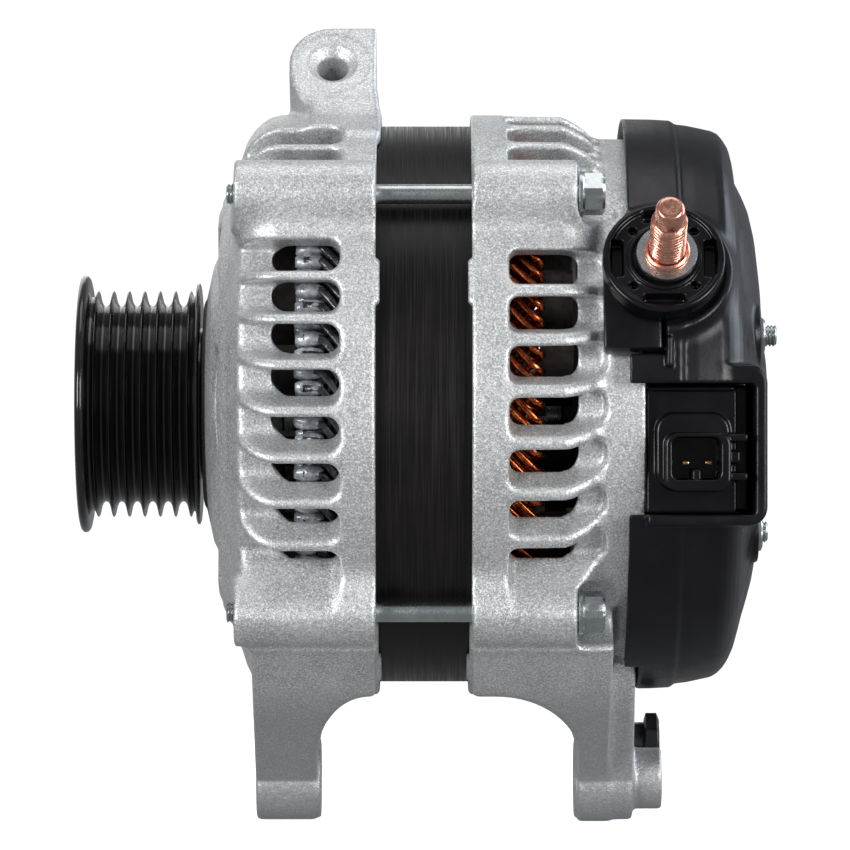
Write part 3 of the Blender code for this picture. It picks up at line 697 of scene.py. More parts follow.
def ear_outline(half, height):
    """A foot seen along the shaft: a round end widening up to a shoulder."""
    neck = arc((0, PIVOT_Z), EAR_RADIUS, 180, 360, 24)
    return neck + [(half, height), (half - 4.5, height + 9), (4.5 - half, height + 9), (-half, height)]


def under_web(space, corner, inner_face, rise):
    """The hollow under a case that leaves a concave web down to the inner face of a foot."""
    steps, margin, below = 16, 20, -120
    width = inner_face - corner
    outline = []
    for step in range(steps + 1):
        turn = math.pi / 2 * step / steps
        outline.append((corner + width * math.sin(turn), WEB_TOP - rise * (1 - math.cos(turn))))
    edge = corner - math.copysign(margin, width)
    outline += [(inner_face, below), (edge, below), (edge, WEB_TOP)]
    return polygon_distance(outline, space.x, space.z)


def lug_shape(space):
    """The adjusting lug: a round-topped block with a slanting drilled face, on a saddle."""
    lean, rise = 0.8, 0.6
    face_y, face_z, middle_x = -6.0, 78.4, 54.8
    depth = (space.z - face_z) * rise - (space.y - face_y) * lean
    up = (space.y - face_y) * rise + (space.z - face_z) * lean
    across = space.x - middle_x
    outline = [(10.0, -18), (10.0, 11), (0, 11)] + arc((0, 1), 10, 90, 180, 16)
    outline += [(-10, -2.5), (-9.4, -6), (-8.0, -9.5), (-6.2, -12.5), (-4.6, -15), (-4.0, -18)]
    flat = polygon_distance(outline, across, up)
    body = meet(flat, np.maximum(depth, -22 - depth), 1.2)
    ridge = [(-13.0, 69.5), (-18, 65.2), (-26, 61.2), (-24, 54), (12, 56), (14, 64), (12, 72), (-4, 72)]
    saddle = space.slab(ridge, middle_x - 4.3, middle_x + 10.0, 2.0)
    hole = np.sqrt(across ** 2 + up ** 2)
    sink = np.maximum(hole - 3.5 - np.clip(depth + 2.2, 0, 3) * 1.1, -18 - depth)
    spot = np.maximum(hole - 8.6, -0.25 - depth)
    return body, saddle, np.minimum(sink, spot)


def locating_tabs(space, x_low, x_high):
    """Four small tabs on a case edge that centre it on the stator stack."""
    across, out = folded(space.angle, space.radius, 4, 24.2)
    flat = box_field(across, out, (0, 65.0), (5.4, 1.2), 0.4)
    return np.maximum(flat, np.maximum(x_low - space.x, space.x - x_high))


def front_case():
    """The drive end casting, with its lug, foot, slots, spokes and bearing seat."""
    space = Space((23.0, -78.0, -98.0), (67.0, 78.0, 89.5), 0.5)
    body = space.turned([
        (25.2, 0), (25.2, 23.4), (25.8, 24.2), (27.5, 31.9), (28.9, 34.8), (29.0, 45.4), (30.4, 48.5),
        (31.9, 51.3), (33.2, 54.6), (34.3, 57.6), (35.2, 60.4), (36.8, 62.9), (38.7, 64.8), (40.6, 66.0),
        (43, BODY_RADIUS), (64.7, BODY_RADIUS), (FRONT_CASE_END, 66.2), (FRONT_CASE_END, 0)])
    body = blend(body, space.at_bolts(BOSS_RADIUS, 33.6, 65.0, 0.8), BOSS_BLEND)
    body = np.maximum(body, space.x - FRONT_CASE_END)
    body = blend(body, locating_tabs(space, 64.6, 66.0), 0.3)
    foot = space.slab(ear_outline(*WIDE_EAR), 37.2, 64.8, 1.2)
    body = blend(body, carve(foot, under_web(space, 63.5, 51.3, 15.5), 1.2), 2.5)
    body = blend(body, space.rod(0, PIVOT_Z, PIVOT_BOSS_RADIUS, 49.0, 52.1, 0.5), 0.4)
    lug, saddle, lug_hole = lug_shape(space)
    body = blend(body, saddle, 4.0)
    body = blend(body, lug, 2.0)
    angles = slot_angles(FRONT_SLOTS, FRONT_SLOT_START, ((90, 21), (-90, 40)))
    grooves = leaning_slots(space, angles, (18.0, 57.2), GROOVE_FLOOR, 3.75, 3.0)
    windows = leaning_slots(space, angles, (42.0, 57.2), WINDOW_FLOOR, 3.75, 2.9)
    body = carve(body, np.minimum(grooves, windows), 1.3)
    cavity = space.turned([
        (70, 0), (70, 64.3), (58.7, 64.3), (58.7, 60.4), (46.2, 60.4), (45.2, 59.6), (43.5, 57.6),
        (40.0, 53), (38, 50), (37, 46), (37, 32), (44.3, 32), (44.3, 23.8), (29.7, 23.8), (29.7, 18.6),
        (20, 18.6), (20, 0)])
    body = carve(body, cavity, 0.5)
    across, out = folded(space.angle, space.radius, 8, 0)
    half_wedge = math.radians(16)
    wedge = np.abs(across) * math.cos(half_wedge) - out * math.sin(half_wedge)
    vent = meet(wedge, np.abs(out - 40.2) - 5.4, 4.0)
    vent = np.maximum(vent, np.maximum(24 - space.x, space.x - 40))
    body = carve(body, vent, 1.0)
    holes = np.minimum(space.at_bolts(BOLT_BORE, 20, 70), space.rod(0, PIVOT_Z, PIVOT_BORE, 30, 60))
    body = carve(body, np.minimum(holes, lug_hole), 0.4)
    body = carve(body, space.rods(28, range(45, 405, 90), 2.3, 36, 46), 0.3)
    obj = field_mesh("drive_end_casting", body, space, "cast")
    finish_piece(obj, ["drive_end_frame"])


def rear_case():
    """The rear casting, with its foot, slots, bolt pockets and the openings in its back."""
    space = Space((84.0, -78.0, -98.0), (133.0, 78.0, 78.0), 0.5)
    body = space.turned([
        (REAR_CASE_START, 0), (REAR_CASE_START, 66.2), (86.8, BODY_RADIUS), (92, BODY_RADIUS), (107, 66.4),
        (108.6, 65.8), (110.4, 64.7), (112.3, 63.5), (114.1, 61.7), (116, 61.1), (124.6, 61.0), (124.6, 0)])
    body = blend(body, space.at_bolts(BOSS_RADIUS, 86.6, 109.8, 0.8), BOSS_BLEND)
    body = np.maximum(body, REAR_CASE_START - space.x)
    body = blend(body, locating_tabs(space, 85.5, 87.0), 0.3)
    foot = space.slab(ear_outline(*WIDE_EAR), 86.8, 118.0, 1.2)
    body = blend(body, carve(foot, under_web(space, 92.0, 111.1, 15.0), 1.2), 2.5)
    body = blend(body, space.slab(ear_outline(*NARROW_EAR), 112.0, 123.8, 1.2), 2.0)
    body = blend(body, space.rod(0, PIVOT_Z, PIVOT_BOSS_RADIUS, 110.3, 113, 0.5), 0.4)
    body = blend(body, space.rod(0, PIVOT_Z, 7.05, 122, 130.5, 0.5), 1.2)
    body = blend(body, space.rod(*BRACKET_BOLT, 8.0, 112.1, 123.4, 0.8), 1.2)
    angles = slot_angles(REAR_SLOTS, REAR_SLOT_START, ((-90, 40),))
    grooves = leaning_slots(space, angles, (94.6, 116.0), GROOVE_FLOOR, 4.0, 2.6)
    windows = leaning_slots(space, angles, (94.6, 109.8), WINDOW_FLOOR, 4.0, 2.2)
    body = carve(body, np.minimum(grooves, windows), 1.2)
    body = carve(body, space.at_bolts(7.0, 109.8, 118.4, 0.6), 0.6)
    cavity = space.turned([
        (80, 0), (80, 64.3), (93.3, 64.3), (93.3, 60.4), (106, 60.4), (108.6, 59.0), (110.5, 56.5),
        (111.5, 52), (111.5, 24), (107, 24), (107, 17.8), (119.3, 17.8), (119.3, 11), (122, 11), (122, 0)])
    body = carve(body, cavity, 0.5)
    back = space.turned([(116, 24), (116, 57), (130, 57), (130, 0), (121.7, 0), (121.7, 24)])
    body = carve(body, back, 0.8)
    for middle in (0, 55, 85, 115, 185, 215, 245, 275):
        across = (apart(space.angle, middle) - 11) * math.radians(1) * space.radius
        vent = meet(across, np.abs(space.radius - 40) - 11, 4.0)
        vent = np.maximum(vent, np.maximum(109 - space.x, space.x - 118))
        body = carve(body, vent, 0.8)
    out, side = space.toward(TERMINAL_ANGLE)
    notch = np.maximum(np.maximum(117.5 - space.x, np.abs(side) - 11), np.maximum(50 - out, out - 63))
    body = carve(body, notch, 0.5)
    holes = np.minimum(space.at_bolts(BOLT_BORE, 80, 112), space.rod(0, PIVOT_Z, PIVOT_BORE, 100, 126))
    holes = np.minimum(holes, space.rod(*BRACKET_BOLT, 4.3, 100, 134))
    body = carve(body, holes, 0.4)
    obj = field_mesh("rear_end_casting", body, space, "cast")
    finish_piece(obj, ["rear_end_frame"])


# ---------------------------------------------------------------- stator

def swept(path, width, height, out_of):
    """A round-cornered bar along a path. out_of gives the outward direction at a point."""
    corner = 0.28
    section = []
    for across, up in ((1, 1), (-1, 1), (-1, -1), (1, -1)):
        wide, tall = across * width / 2, up * height / 2
        pair = [(wide, tall - up * corner), (wide - across * corner, tall)]
        section += pair if across * up > 0 else pair[::-1]
    points = []
    for index, centre in enumerate(path):
        before = path[max(index - 1, 0)]
        after = path[min(index + 1, len(path) - 1)]
        along = (after - before).normalized()
        out = out_of(centre)
        side = along.cross(out).normalized()
        out = side.cross(along).normalized()
        points += [tuple(centre + side * wide + out * tall) for wide, tall in section]
    return points, end_caps(len(path), len(section)) + ring_faces(len(path), len(section))


def on_shaft(x, radius, angle):
    return Vector(ring_point(x, radius, math.radians(angle)))


def outward(point):
    return Vector((0, point.y, point.z)).normalized()


def make_core():
    """The laminated stack with its rolled outer edge and the winding slots in its bore."""
    sides = HAIRPINS * 4
    profile = [(CORE_START, 0), (CORE_START, CORE_RADIUS - 0.5), (CORE_START + 0.4, CORE_RADIUS),
               (CORE_END - 0.4, CORE_RADIUS), (CORE_END, CORE_RADIUS - 0.5), (CORE_END, 0)]
    points = []
    for step in range(sides):
        bore = CORE_BORE if step % 4 in (0, 1) else SLOT_BOTTOM
        points += [tuple(on_shaft(x, radius or bore, 360 * step / sides)) for x, radius in profile]
    faces = ring_faces(sides, len(profile), closed=True)
    core = add_mesh("stator_stack", points, faces, "core", 40)
    finish_piece(core, ["stator_core"])


def hairpin(start_x, end_x, angle, sweep, outer, inner):
    """One conductor pair: out on the outer layer, over the top and back on the inner layer."""
    shares = [step / 6 for step in range(7)]
    leg = end_x - 1.6 - start_x
    path = [on_shaft(start_x + leg * share, outer, angle - sweep * share) for share in shares]
    top = angle - sweep - 0.5
    path.append(on_shaft(end_x - 0.5, outer - 0.9, top))
    path.append(on_shaft(end_x, (outer + inner) / 2, top - 0.4))
    path.append(on_shaft(end_x - 0.5, inner + 0.9, top - 0.8))
    path += [on_shaft(start_x + leg * (1 - share), inner, top - 1.3 - sweep * share) for share in shares]
    return swept(path, 1.45, 1.45, outward)


def make_rear_winding():
    """The bare copper hairpin heads on the rear side, two layers that cross."""
    bars = []
    for index in range(HAIRPINS):
        angle = 360 * index / HAIRPINS
        bars.append(hairpin(CORE_END + 0.3, 101.9, angle, 7.2, 58.2, 54.6))
        bars.append(hairpin(CORE_END + 0.3, 100.2, angle + 1.2, 6.0, 56.2, 51.9))
    heads = add_mesh("rear_hairpin_heads", *joined(bars), "copper")
    finish_piece(heads, ["stator_winding_rear"])
    profile = ((0.3, 51.0), (0.3, 59.0), (1.6, 59.2), (1.9, 57.5), (1.9, 51.6), (1.6, 50.8))
    liner = lathe([(CORE_END + rise, radius) for rise, radius in profile], 120)
    base = add_mesh("rear_slot_liners", *liner, "varnish")
    finish_piece(base)


def lump(x_low, x_high, radius, angle, seed):
    """A bead of resin over one welded pair of conductor ends, fuller at its middle."""
    rows, sides = 9, 12
    points = []
    for row in range(rows + 1):
        share = row / rows
        fat = math.sin(math.pi * min(1.0, max(0.0, 0.06 + share * 0.88))) ** 0.35
        wobble = 1 + 0.14 * math.sin(seed * 1.7 + share * 5.3)
        for step in range(sides):
            turn = TURN * step / sides
            lift = math.copysign(abs(math.sin(turn)) ** 0.7, math.sin(turn)) * 1.95 * fat * wobble
            wide = math.copysign(abs(math.cos(turn)) ** 0.7, math.cos(turn)) * 1.74 * fat
            slip = 0.35 * math.sin(seed * 2.3) * (1 - share)
            place = angle + math.degrees((wide + slip) / radius)
            points.append(tuple(on_shaft(x_low + (x_high - x_low) * share, radius + lift, place)))
    return points, end_caps(rows + 1, sides) + ring_faces(rows + 1, sides)


def make_front_winding():
    """The weld side: slanted dark conductors that end in resin-coated welds."""
    bars, beads = [], []
    for index in range(HAIRPINS):
        angle = 360 * index / HAIRPINS
        for radius, way in ((57.9, 1), (55.7, -1), (53.6, 1), (51.7, -1)):
            path = [on_shaft(CORE_START - 0.3 - 5.2 * step / 5, radius, angle + way * 6.4 * step / 5)
                    for step in range(6)]
            path += [on_shaft(x, radius, angle + way * WELD_TWIST) for x in (52.0, 49.0)]
            bars.append(swept(path, 1.7, 1.5, outward))
    for index in range(HAIRPINS):
        angle = 360 * index / HAIRPINS + WELD_TWIST
        tip = 47.0 + 0.15 * (index * 7 % 3)
        for ring_number, radius in enumerate((56.9, 52.9)):
            beads.append(lump(tip, 53.6, radius, angle, index * 1.3 + ring_number))
    wires = add_mesh("front_conductors", *joined(bars), "varnish")
    finish_piece(wires, ["stator_winding_front"])
    welds = add_mesh("front_weld_beads", *joined(beads), "resin")
    finish_piece(welds)


# ---------------------------------------------------------------- pulley, shaft end and fasteners

def pulley_profile():
    """Seven narrow crests with rounded valleys between a dished front flange and a thin rear one."""
    pitch, first, crest, valley = 3.56, 0.7, 26.05, 22.5
    crests = ((-0.22, crest - 0.25), (-0.08, crest), (0.08, crest), (0.22, crest - 0.25))
    valleys = ((0.62, 24.0), (0.98, 23.1), (1.38, 22.62), (1.78, valley), (2.18, 22.62), (2.58, 23.1),
               (2.94, 24.0))
    profile = [(-3.3, 21.9), (-3.3, 28.2), (-3.1, 29.0), (-2.7, 29.5), (-2.2, 29.65), (-1.7, 29.5),
               (-1.2, 28.9), (-0.95, 27.8), (-0.85, 25.2), (-0.6, 24.7), (-0.1, 24.6), (0.25, 25.2)]
    for index in range(7):
        middle = first + index * pitch
        shape = crests + valleys if index < 6 else crests
        profile += [(middle + offset, radius) for offset, radius in shape]
    profile += [(22.55, 25.0), (22.8, 24.7), (23.15, 24.9), (23.4, 26.2), (23.55, 27.5), (23.8, 27.8),
                (24.1, 27.8), (24.3, 27.4), (24.3, 17.5), (27.2, 17.3), (27.5, 17.0), (27.5, 12.2),
                (29.7, 12.2), (29.7, 8.9), (11.5, 8.9), (11.5, 16.9), (10.9, 17.5), (4.0, 18.6),
                (1.2, 20.2), (-2.6, 21.4)]
    return profile


def make_pulley():
    pulley = add_mesh("ribbed_pulley", *lathe(pulley_profile(), 144), "pulley", 50)
    finish_piece(pulley, ["pulley"], "rotor")
    ring = lathe([(2.4, 7.4), (2.4, 10.4), (2.9, 10.9), (3.6, 10.9), (3.6, 7.4)], 64)
    outer = hex_head(3.4, 11.2, 22.0, 0.7)
    nut = add_mesh("shaft_nut", *joined([outer, ring]), "zinc", 32)
    finish_piece(nut, ["pulley_nut"], "rotor")


def make_shaft():
    """The shaft with its threaded pulley end, a hexagon socket in the face and the slip ring end."""
    thread_part = thread(0.3, 12.0, 7.0, 6.35, 1.5, 48)
    socket_flat = 4.0
    points = []
    rings = ((0.33, 6.1), (-0.02, 5.6), (-0.02, None), (3.48, None))
    for x, radius in rings:
        for step in range(HEX_SIDES):
            turn = TURN * step / HEX_SIDES
            points.append(ring_point(x, radius or hex_reach(socket_flat, turn), turn))
    bottom = end_caps(len(rings), HEX_SIDES)[1]
    socket = points, ring_faces(len(rings), HEX_SIDES) + [bottom]
    body = lathe([(11.6, 0.5), (11.6, 6.9), (12.7, 7.0), (12.7, 8.4), (46, 8.4), (46, 9.9), (107.4, 9.9),
                  (107.4, 7.4), (121, 7.4), (121, 4.0), (146.4, 4.0), (147.0, 3.4), (147.0, 0.5)], 64)
    shaft = add_mesh("turned_shaft", *joined([thread_part, body, socket]), "steel", 32)
    finish_piece(shaft, ["rotor_shaft"], "rotor")


def make_through_bolts():
    for index, angle in enumerate(BOLT_ANGLES, 1):
        shank = lathe([(36, 0.3), (36, 2.0), (36.6, 2.2), (110.4, 2.2), (110.4, 0.3)], 32)
        tip = thread(31.9, 44.0, 2.3, 1.95, 0.8, 24, 0.5)
        washer = lathe([(110.1, 2.0), (110.1, 5.0), (110.4, 5.2), (111.0, 5.15), (111.5, 4.6),
                        (111.5, 2.0)], 48)
        head = hex_head(111.1, 116.0, 8.4, 0.6)
        parts = [at_circle(part, BOLT_CIRCLE, angle) for part in (shank, tip, washer, head)]
        bolt = add_mesh(f"long_bolt_{index}", *joined(parts), "zinc", 32)
        finish_piece(bolt, [f"through_bolt_{index}"])


def make_cover_nuts():
    for index, (angle, end) in enumerate(zip(STUD_ANGLES, STUD_ENDS), 1):
        stud = at_circle(thread(110, end, 2.4, 2.0, 0.8, 24, 0.6), STUD_CIRCLE, angle)
        rod = add_mesh(f"cover_screw_{index}", *stud, "zinc", 40)
        finish_piece(rod, [f"cover_stud_{index}"])
        flange = lathe([(149.3, 2.75), (149.3, 4.5), (149.6, 4.6), (149.9, 4.1), (149.9, 2.75)], 32)
        shape = joined([flange, hex_head(149.7, 152.2, 7.6, 0.4)])
        nut = add_mesh(f"flange_nut_{index}", *at_circle(shape, STUD_CIRCLE, angle), "washer", 32)
        finish_piece(nut, [f"cover_nut_{index}"])


def make_bracket_bolt():
    """The black bolt above the pivot boss on the rear foot."""
    low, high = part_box("bracket_bolt")
    start, end = low.x / MM, high.x / MM
    shank = lathe([(start, 0.3), (start, 3.6), (start + 0.5, 4.0), (end - 3.2, 4.0), (end - 3.2, 0.3)], 40)
    collar = lathe([(124.2, 3.9), (124.2, 5.2), (124.6, 5.35), (end - 3.6, 5.35), (end - 3.3, 5.2),
                    (end - 3.3, 3.9)], 48)
    head = hex_head(end - 3.45, end, 13.0, 0.6)
    parts = [moved(part, Matrix.Translation((0, *BRACKET_BOLT))) for part in (shank, collar, head)]
    bolt = add_mesh("bracket_screw", *joined(parts), "bolt", 32)
    finish_piece(bolt, ["bracket_bolt"])


# ---------------------------------------------------------------- cover, terminal and connector

def rear_cover():
    """The plastic cover: two blended profiles, then the plug opening, terminal seat and nut pockets."""
    space = Space((119.0, -68.0, -68.0), (156.5, 68.0, 68.0), 0.45)
    top = smooth_step(space.angle, 12, 40) * (1 - smooth_step(space.angle, 140, 168))
    rim = [(121, 0), (121, 65.7), (128, 65.6), (132.2, 65.35), (133.4, 64.5), (136, 64.2), (138.4, 63.7),
           (141.6, 63.0)]
    stepped = [(143, 62.4), (144.1, 61.2), (145.3, 59.3), (145.9, 57), (146.4, 52.2), (147.6, 50),
               (148.7, 47.8), (149.9, 45), (151.1, 40)]
    round_edge = [(143, 62.2), (144.2, 61), (145.3, 59.4), (146.4, 57.0), (147.4, 53.5), (148.3, 50),
                  (149.4, 46.4), (150.6, 42), (151.5, 37)]
    crown = [(152.2, 31.5), (153.1, 19), (154.0, 13.5), (154.4, 11), (154.4, 0)]
    inner = [(119, 0), (119, 63.4), (141.0, 60.4), (143.2, 57.4), (144.3, 52), (146.0, 46), (148.0, 40),
             (150.2, 26), (151.8, 11), (151.8, 0)]
    upper = space.turned(rim + stepped + crown)
    lower = space.turned(rim + round_edge + crown)
    out, side = space.toward(TERMINAL_ANGLE)
    disc = np.sqrt((space.x - TERMINAL_X) ** 2 + side ** 2)
    collar = meet(disc - 15.4, np.maximum(out - 65.3, 52 - out), 1.0)
    body = blend(lower + (upper - lower) * top, collar, 3.5)
    body = carve(body, space.turned(inner), 0.4)
    body = blend(body, space.at_studs(6.8, 146.6, 151.2, 0.6), 1.4)
    walls = box_field(space.x, space.z, (135.0, -9.25), (16.4, 17.75), 4.0)
    walls = np.where(space.x < 130, np.maximum(np.abs(space.z + 9.25) - 17.75, 124.9 - space.x), walls)
    walls = meet(walls, np.maximum(-62.0 - space.y, space.y + 38.0), 0.7)
    body = blend(body, walls, 1.0)
    recess = box_field(space.x, space.z, (132.35, -10.15), (16.35, 14.45), 0.8)
    body = carve(body, np.maximum(recess, space.y + 34), 0.5)
    rib_ends = np.maximum(np.abs(space.z - 11.3) - 3.4, -66.6 - space.y)
    rib = meet(np.abs(space.x - 129.6) - 0.7, rib_ends, 0.5)
    body = blend(body, np.maximum(rib, space.y + 60), 0.6)
    base_out, base_side = space.toward(TERMINAL_BASE_ANGLE)
    notch = np.maximum(np.maximum(space.x - 129, np.abs(base_side) - 12.4), 58 - base_out)
    body = carve(body, notch, 0.5)
    body = carve(body, np.maximum(disc - 13.8, 65.0 - out), 0.4)
    body = carve(body, np.maximum(disc - 9.8, 50 - out), 0.4)
    foot_side = np.maximum(np.maximum(space.x - 124.3, space.z + 50), np.abs(space.y) - 27)
    body = carve(body, foot_side, 0.8)
    body = carve(body, space.at_studs(5.1, 149.0, 160, 0.2), 0.5)
    body = carve(body, space.at_studs(2.7, 140, 160, 0.2), 0.3)
    across, far = folded(space.angle, space.radius, 20, 9)
    louvre = box_field(across, far, (0, 24.5), (1.3, 8.0), 1.3)
    body = carve(body, np.maximum(louvre, 148 - space.x), 0.5)
    obj = field_mesh("end_cover", body, space, "cover")
    finish_piece(obj, ["rear_cover"])


def make_insulator():
    """The round terminal insulator, drawn along X and then turned out from the shaft, and its base."""
    space = Space((47.5, -26.0, -15.5), (72.5, 16.0, 15.5), 0.28)
    x, round_to = space.x, space.radius
    body = meet(round_to - 13.5, np.maximum(66.2 - x, x - 71.0), 0.8)
    body = carve(body, meet(round_to - 11.9, 70.2 - x, 0.4), 0.4)
    hub = meet(np.abs(round_to - 7.6) - 0.5, np.maximum(66 - x, x - 70.9), 0.3)
    body = np.minimum(body, hub)
    angle = np.degrees(np.arctan2(space.z, space.y))
    across, out = folded(angle, round_to, 4, 0)
    pocket = box_field(across, out, (0, 10.2), (4.6, 1.35), 0.8)
    body = carve(body, np.maximum(pocket, 67.4 - x), 0.3)
    across, out = folded(angle, round_to, 4, 45)
    pin_hole = np.sqrt(across ** 2 + (out - 9.6) ** 2) - 1.0
    body = carve(body, np.maximum(pin_hole, 68.2 - x), 0.2)
    neck = np.maximum(round_to - 9.5, np.maximum(50 - x, x - 67))
    body = np.minimum(body, neck)
    body = np.maximum(body, -(np.maximum(round_to - 4.3, 40 - x)))
    obj = field_mesh("terminal_insulator_disc", body, space, "moulding")
    obj.data.transform(radial_frame(TERMINAL_X * MM, TERMINAL_ANGLE))
    turn = Matrix.Rotation(-math.radians(TERMINAL_BASE_ANGLE), 4, "X")
    base = moved(block((115.3, -66.5, -12.0), (128.0, -61.8, 12.0), 0.7), turn)
    foot = add_mesh("terminal_base", *base, "moulding", 40)
    finish_piece(obj, ["terminal_insulator"])
    finish_piece(foot)


def make_stud():
    """The copper output stud: a collar, a full thread and a plain dog point."""
    place = radial_frame(TERMINAL_X + STUD_LEAN, TERMINAL_ANGLE)
    lower = lathe([(46, 0.03), (46, 3.9), (73.6, 3.9), (73.6, 0.03)], 48)
    collar = lathe([(73.05, 3.8), (74.0, 3.8), (74.25, 4.3), (74.05, 4.9), (73.6, 5.15), (73.05, 5.1)], 64)
    screw = thread(73.4, 87.2, 4.0, 3.4, 1.25, 72, 0.7)
    point = lathe([(86.4, 0.03), (86.4, 3.35), (87.2, 3.2), (92.0, 3.2), (92.7, 2.75),
                   (92.85, 2.4), (92.8, 1.6), (92.75, 0.03)], 64)
    parts = [moved(part, place) for part in (lower, collar, screw, point)]
    stud = add_mesh("copper_stud", *joined(parts), "stud", 45)
    finish_piece(stud, ["output_terminal_stud"])
    washer = lathe([(71.3, 4.3), (71.3, 6.7), (71.45, 6.8), (72.7, 6.8), (73.0, 6.6), (73.0, 4.3)], 64)
    plate = add_mesh("stud_washer", *moved(washer, place), "washer", 40)
    finish_piece(plate, ["terminal_washer"])


def prism(space, centre, half, corner, front, back, ease):
    """A round-cornered block seen along Y, between two stations on it."""
    flat = box_field(space.x, space.z, centre, half, corner)
    return meet(flat, np.maximum(front - space.y, space.y - back), ease)


def make_connector():
    """The plug socket: a plate, a shroud with its two rails and catch, a cavity with a key, and the pins."""
    space = Space((123.5, -67.5, -26.0), (149.5, -35.5, 6.0), 0.3)
    body = prism(space, (134.85, -10.15), (9.95, 14.15), 0.8, -58, -37, 0.6)
    for reach, measures in (
            (0.4, ((134.6, 3.2), (9.5, 0.45), 0.3, -59.4, -50, 0.3)),  # lip on top of the plate
            (0.3, ((136.65, -10.15), (11.75, 14.15), 0.6, -44, -37, 0.5)),  # plate behind
            (0.6, ((135.05, -10.6), (8.15, 8.4), 4.0, -60.6, -50, 0.8)),  # round step
            (0.5, ((135.95, -12.95), (7.15, 6.35), 2.6, -66, -50, 0.5)),  # shroud
            (0.4, ((144.6, -7.6), (2.2, 0.75), 0.4, -65, -50, 0.3)),  # upper rail
            (0.4, ((144.6, -16.2), (2.2, 0.75), 0.4, -65, -50, 0.3)),  # lower rail
            (0.4, ((144.0, -11.9), (1.2, 1.3), 0.4, -63.5, -52, 0.3))):  # catch
        body = blend(body, prism(space, *measures), reach)
    cavity = box_field(space.x, space.z, (135.6, -12.2), (5.3, 4.7), 1.6)
    body = carve(body, np.maximum(cavity, space.y + 53), 0.3)
    key = prism(space, (135.6, -15.9), (1.0, 1.3), 0.3, -65.4, -53, 0.3)
    body = np.minimum(body, key)
    obj = field_mesh("plug_socket_housing", body, space, "moulding")
    finish_piece(obj, ["connector_housing"])
    for index, pin_x in enumerate((133.4, 138.5), 1):
        shape = block((pin_x - 0.75, -60.5, -13.6), (pin_x + 0.75, -50.0, -12.8), 0.25)
        pin = add_mesh(f"blade_{index}", *shape, "brass", 40)
        finish_piece(pin, [f"connector_pin_{index}"])


def make_fan_blades():
    """Two rings of swept blades, one on each side of the poles."""
    for name, x_low, x_high in (("front_blades", 40.6, 50.0), ("rear_blades", 101.0, 108.6)):
        along = Vector((x_high - x_low, 0, 0))
        blades = []
        for index in range(FAN_BLADES):
            angle = 360 * index / FAN_BLADES
            path = [on_shaft(x_low + 0.6, 33.6 + 12.6 * step / 6, angle + 2.6 * step) for step in range(7)]
            points = []
            for here in path:
                side = outward(here).cross(Vector((1, 0, 0))) * 0.6
                there = here + along
                points += [tuple(here + side), tuple(here - side), tuple(there - side), tuple(there + side)]
            blades.append((points, end_caps(len(path), 4) + ring_faces(len(path), 4)))
        fan = add_mesh(name, *joined(blades), "fan", 40)
        finish_piece(fan, body="rotor")


def from_axis(point):
    return Vector((point.x, 0, point.z)).normalized()


def make_brush_springs():
    """The two coils behind the brushes, drawn at one fixed length."""
    turns, steps, coil, start, end = 5, 100, 2.3, -23.9, -31.6
    for index in (1, 2):
        low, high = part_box(f"brush_spring_{index}")
        middle = (low.x + high.x) / 2 / MM
        path = []
        for step in range(steps + 1):
            turn = TURN * turns * step / steps
            y = start + (end - start) * step / steps
            path.append(Vector((middle + coil * math.cos(turn), y, coil * math.sin(turn))))
        axis_point = Vector((middle, 0, 0))
        wire = swept(path, 0.66, 0.66, lambda point: from_axis(point - axis_point))
        spring = add_mesh(f"brush_coil_{index}", *wire, "steel", 60)
        finish_piece(spring, [f"brush_spring_{index}"])
        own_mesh(spring)


# ---------------------------------------------------------------- CAD pieces that stay

KEPT = {
    "steel": ("front_bearing_outer_race", "front_bearing_inner_race", "front_bearing_balls",
              "rear_bearing_outer_race", "rear_bearing_inner_race", "rear_bearing_balls",
              "bearing_retainer_plate"),
    "zinc": ("retainer_screw_1", "retainer_screw_2", "retainer_screw_3", "retainer_screw_4"),
    "iron": ("front_pole_core", "rear_pole_core"),
    "fan": ("front_fan", "rear_fan"),
    "rings": ("slip_ring_inner", "slip_ring_outer"),
    "varnish": ("field_coil",),
    "inner": ("field_coil_bobbin", "slip_ring_sleeve", "brush_holder", "voltage_regulator"),
    "carbon": ("brush_1", "brush_2"),
    "cast": ("rectifier_fin_negative", "rectifier_fin_positive"),
    "washer": tuple(f"diode_{index}" for index in range(1, 7)),
}


def dress_kept_nodes():
    for look, names in KEPT.items():
        for name in names:
            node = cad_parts[name]
            node.data.materials.clear()
            node.data.materials.append(LOOKS[look])
            edge = node.modifiers.new("edges", "BEVEL")
            edge.width = KEPT_EDGE * MM
            edge.segments = 2
            edge.limit_method = "ANGLE"
            edge.angle_limit = math.radians(40)


# ---------------------------------------------------------------- light

def make_light(name, location, target, size, energy, colour=(1, 1, 1)):
    data = bpy.data.lights.new(name, "AREA")
    data.shape = "RECTANGLE"
    data.size, data.size_y = size
    data.energy = energy
    data.color = colour
    lamp = bpy.data.objects.new(name, data)
    lamp.location = location
    lamp.rotation_euler = (Vector(target) - Vector(location)).to_track_quat("-Z", "Y").to_euler()
    bpy.context.scene.collection.objects.link(lamp)


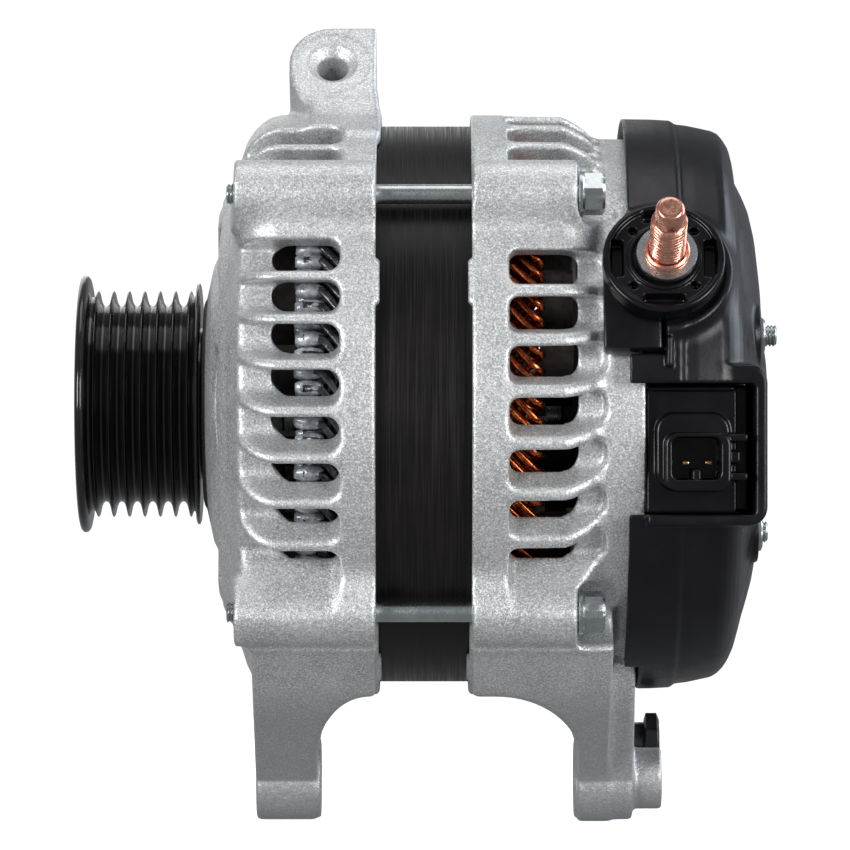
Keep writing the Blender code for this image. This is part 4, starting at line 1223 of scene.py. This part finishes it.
def make_studio():
    """A pale round floor that only the camera sees, five soft lamps and a white surround."""
    top = cad_box[0][2] / MM - 0.3
    points, faces = lathe([(top - 5, 0.0), (top - 5, 450.0), (top, 450.0), (top, 0.0)], 64)
    points = [(y, z, x) for x, y, z in points]
    floor = add_mesh("studio_floor", points, faces, "floor")
    floor.visible_diffuse = False
    floor.visible_glossy = False
    middle = (0.076, 0, 0)
    make_light("left_soft", (-1.05, -1.2, 0.30), middle, (0.6, 0.7), 18)
    make_light("right_soft", (1.25, -1.2, 0.25), middle, (0.6, 0.7), 16)
    make_light("top_soft", (0.10, -0.1, 1.5), middle, (1.2, 1.0), 6.0)
    make_light("rim_soft", (1.35, 0.45, 0.50), middle, (1.1, 1.1), 13, (0.82, 0.90, 1.0))
    make_light("back_soft", (-0.4, 1.4, 0.7), middle, (1.2, 0.9), 3)
    world = bpy.data.worlds.new("studio")
    bpy.context.scene.world = world
    world.use_nodes = True
    tree = world.node_tree
    back = tree.nodes["Background"]
    back.inputs["Color"].default_value = (0.95, 0.97, 1.0, 1.0)
    back.inputs["Strength"].default_value = 0.24
    plain = tree.nodes.new("ShaderNodeBackground")
    plain.inputs["Color"].default_value = (1.0, 1.0, 1.0, 1.0)
    plain.inputs["Strength"].default_value = 1.05
    path = tree.nodes.new("ShaderNodeLightPath")
    mix = tree.nodes.new("ShaderNodeMixShader")
    # The camera sees a plain white background, and only the dimmer one lights the object.
    tree.links.new(path.outputs["Is Camera Ray"], mix.inputs["Fac"])
    tree.links.new(back.outputs["Background"], mix.inputs[1])
    tree.links.new(plain.outputs["Background"], mix.inputs[2])
    tree.links.new(mix.outputs["Shader"], tree.nodes["World Output"].inputs["Surface"])
    bpy.context.scene.view_settings.view_transform = "Standard"
    bpy.context.scene.view_settings.look = "None"


def main():
    make_camera()
    make_studio()
    front_case()
    rear_case()
    rear_cover()
    make_core()
    make_front_winding()
    make_rear_winding()
    make_pulley()
    make_shaft()
    make_through_bolts()
    make_cover_nuts()
    make_bracket_bolt()
    make_insulator()
    make_stud()
    make_connector()
    make_fan_blades()
    make_brush_springs()
    dress_kept_nodes()


main()
